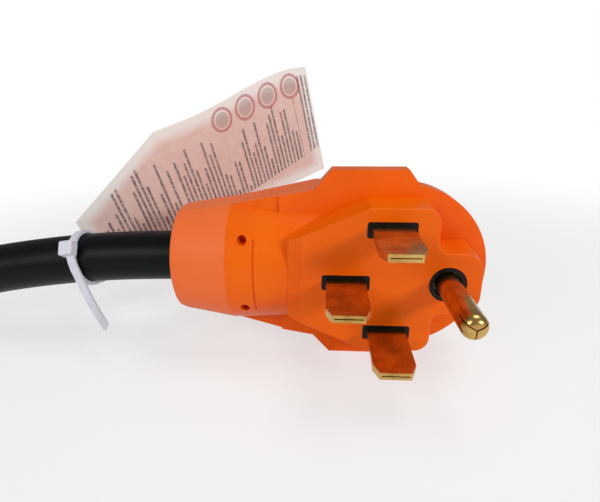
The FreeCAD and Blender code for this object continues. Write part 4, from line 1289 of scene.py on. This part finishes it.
@dataclass
class Tag:
    """Stiff card on the tie, one long corner cut off."""

    corner_mm: tuple[float, float, float] = (-108.1, 36.8, 18.0)
    length_mm: float = 110.0
    width_mm: float = 45.0
    cut_length_mm: float = 39.5
    cut_width_mm: float = 20.5
    yaw: float = 32.8
    lean: float = 15.9
    roll: float = 10.8
    # The card is bowed: its top rises by this much between these places along it
    bow_mm: float = 4.6
    bow_span_mm: tuple[float, float] = (52.0, 98.0)
    # Towards the end it comes down again, and would by this much at the last place
    droop_mm: float = 1.6
    droop_span_mm: tuple[float, float] = (100.0, 112.0)
    # It stands out backwards by this much, most in the middle
    wave_mm: float = 0.6
    wave_span_mm: tuple[float, float] = (25.0, 110.0)
    slices: int = 40

    def bowed(self, place: Vector) -> Vector:
        """Where the bowed card has a point of the flat one.

        Args:
            place: The point, in the flat card's own millimetres.

        Returns:
            The point of the bowed card, in the same frame.
        """
        rise = self.bow_mm * eased(*self.bow_span_mm, place.x)
        rise -= self.droop_mm * eased(*self.droop_span_mm, place.x)
        height = place.z / self.width_mm
        wave = self.wave_mm * math.sin(math.pi * share_of(*self.wave_span_mm, place.x))
        return place + Vector((0.0, wave, rise * height * height))

    def placement(self) -> Matrix:
        """Place of the flat card.

        Returns:
            Matrix from the card's own frame to the row frame, both in metres.
        """
        roll = Matrix.Rotation(math.radians(-self.roll), 4, "Y")
        lean = Matrix.Rotation(math.radians(self.lean), 4, "X")
        yaw = Matrix.Rotation(math.radians(self.yaw), 4, "Z")
        return Matrix.Translation(plug_mm(*self.corner_mm)) @ roll @ lean @ yaw

    def build(self, card: bpy.types.Material) -> bpy.types.Object:
        """Make the card.

        Args:
            card: Finish of the card.

        Returns:
            The card, on its body.
        """
        form = bmesh.new()
        form.from_mesh(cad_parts["hang_tag"].data)
        bmesh.ops.remove_doubles(form, verts=form.verts, dist=MERGE_MM * MILLIMETRE)
        flat = self.placement().inverted()
        bmesh.ops.transform(form, matrix=flat, verts=form.verts)
        for index in range(1, self.slices):
            everything = form.verts[:] + form.edges[:] + form.faces[:]
            x = self.length_mm * MILLIMETRE * index / self.slices
            bmesh.ops.bisect_plane(
                form, geom=everything, plane_co=(x, 0.0, 0.0), plane_no=(1.0, 0.0, 0.0)
            )
        layer = form.loops.layers.uv.new("card")
        for face in form.faces:
            for loop in face.loops:
                place = loop.vert.co / MILLIMETRE
                loop[layer].uv = (place.x / self.length_mm, place.z / self.width_mm)
        for corner in form.verts:
            corner.co = self.bowed(corner.co / MILLIMETRE) * MILLIMETRE
        bmesh.ops.transform(form, matrix=flat.inverted(), verts=form.verts)
        tag = new_piece("paper_tag", form)
        dress(tag, card)
        stand_in(tag, Body.CORD_SET, "hang_tag")
        return tag


@dataclass
class Tie:
    """Nylon tie round the cord and through the card's hole."""

    rounding_mm: float = 0.25

    def build(self, nylon: bpy.types.Material) -> bpy.types.Object:
        """Make the tie.

        Args:
            nylon: Finish of the tie.

        Returns:
            The tie, on its body.
        """
        tie = softened_copy("cable_tie", "white_tie", self.rounding_mm)
        dress(tie, nylon)
        stand_in(tie, Body.CORD_SET, "cable_tie")
        return tie


@dataclass(frozen=True)
class Lamp:
    """Square area lamp."""

    name: str
    place_mm: tuple[float, float, float]
    side_mm: float
    watts: float

    def build(self, aim_mm: tuple[float, float, float]) -> None:
        """Make the lamp.

        Args:
            aim_mm: Point that it faces, in the row frame.
        """
        light = bpy.data.lights.new(self.name, "AREA")
        light.shape = "SQUARE"
        light.size = self.side_mm * MILLIMETRE
        light.energy = self.watts
        lamp = add_object(self.name, light)
        place = Vector(self.place_mm)
        lamp.location = place * MILLIMETRE
        lamp.rotation_euler = (Vector(aim_mm) - place).to_track_quat("-Z", "Y").to_euler()


@dataclass
class Studio:
    """Pale floor, soft lamps and the camera at the photograph's place."""

    floor_reach_mm: float = 6000.0
    lamps: tuple[Lamp, ...] = (
        Lamp("key", (180.0, 40.0, 620.0), 280.0, 1.1),
        Lamp("front_right", (400.0, -420.0, 260.0), 110.0, 1.3),
        Lamp("front_left", (-330.0, -400.0, 300.0), 260.0, 0.9),
    )
    aim_mm: tuple[float, float, float] = (10.0, 0.0, 30.0)
    world_strength: float = 0.27
    camera_mm: tuple[float, float, float] = (-0.98, -126.74, 85.36)
    camera_turn: tuple[float, float, float] = (69.905, 0.359, 3.469)
    focal_px: float = 425.66
    image_width_px: float = 600.0
    sensor_mm: float = 36.0
    clip_start_mm: float = 5.0

    def floor(self, paper: bpy.types.Material) -> None:
        """Make the floor.

        Args:
            paper: Finish of the floor.
        """
        form = bmesh.new()
        bmesh.ops.create_grid(form, x_segments=2, y_segments=2, size=self.floor_reach_mm * MILLIMETRE)
        floor = new_piece("studio_floor", form)
        floor.data.materials.append(paper)

    def world(self) -> None:
        """Make a soft surround that the camera sees as white."""
        world = bpy.data.worlds.new("soft_surround")
        bpy.context.scene.world = world
        world.use_nodes = True
        tree = world.node_tree
        tree.nodes.clear()
        path = node(tree, "ShaderNodeLightPath")
        white = node(tree, "ShaderNodeBackground", {"Color": WHITE, "Strength": 1.0})
        soft = node(tree, "ShaderNodeBackground", {"Color": WHITE, "Strength": self.world_strength})
        mixed = node(
            tree,
            "ShaderNodeMixShader",
            {0: path.outputs["Is Camera Ray"], 1: soft.outputs[0], 2: white.outputs[0]},
        )
        node(tree, "ShaderNodeOutputWorld", {"Surface": mixed.outputs[0]})

    def camera(self) -> None:
        """Make the camera, and look through it."""
        view = bpy.data.cameras.new("photo_camera")
        view.sensor_width = self.sensor_mm
        view.lens = self.focal_px / self.image_width_px * self.sensor_mm
        view.clip_start = self.clip_start_mm * MILLIMETRE
        camera = add_object("photo_camera", view)
        camera.location = Vector(self.camera_mm) * MILLIMETRE
        camera.rotation_euler = Euler([math.radians(angle) for angle in self.camera_turn])
        bpy.context.scene.camera = camera
        bpy.context.scene.view_settings.view_transform = "Standard"

    def build(self, paper: bpy.types.Material) -> None:
        """Make the floor, the lamps, the world and the camera.

        Args:
            paper: Finish of the floor.
        """
        self.floor(paper)
        for lamp in self.lamps:
            lamp.build(self.aim_mm)
        self.world()
        self.camera()


def main() -> None:
    """Build the studio, the plug, the connector, the card, the tie, what is hidden, and the cord."""
    logging.basicConfig(level=logging.INFO, format="%(name)s: %(message)s")
    vinyl = MouldedVinyl().build()
    nylon = BLACK_NYLON.build()
    brass = ROLLED_BRASS.build()
    filler = FILLER_PVC.build()
    tag_maker = Tag()
    card = TagCard(
        tag_maker.length_mm, tag_maker.width_mm, tag_maker.cut_length_mm, tag_maker.cut_width_mm
    )

    Studio().build(StudioSheet().build())
    Plug().build(vinyl, nylon, brass)
    Connector().build(vinyl, nylon, NITRILE.build())
    tag = tag_maker.build(card.build())
    tie = Tie().build(NATURAL_NYLON.build())

    contacts = ["line_contact", "neutral_contact", "ground_contact"]
    dress_cad(["inner_mould", "connector_inner_mould"], filler)
    dress_cad(["plug_copper_strands", "connector_copper_strands"], BARE_COPPER.build())
    dress_cad(contacts, brass)
    dress_cad(["plug_line_core", "connector_line_core"], filler)
    dress_cad(["plug_neutral_core", "connector_neutral_core"], WHITE_PVC.build())
    dress_cad(["plug_ground_core", "connector_ground_core"], GREEN_PVC.build())

    riders = [tie.name, tag.name, "connector_shell", "grip_ring", "connector_insert", "insert_core"]
    riders += ["insert_webs", "face_gasket", *contacts, "connector_inner_mould", "connector_line_core"]
    riders += ["connector_neutral_core", "connector_ground_core", "connector_copper_strands"]
    Cord().build(EXTRUDED_PVC.build(), riders)


if __name__ == "__main__":
    main()
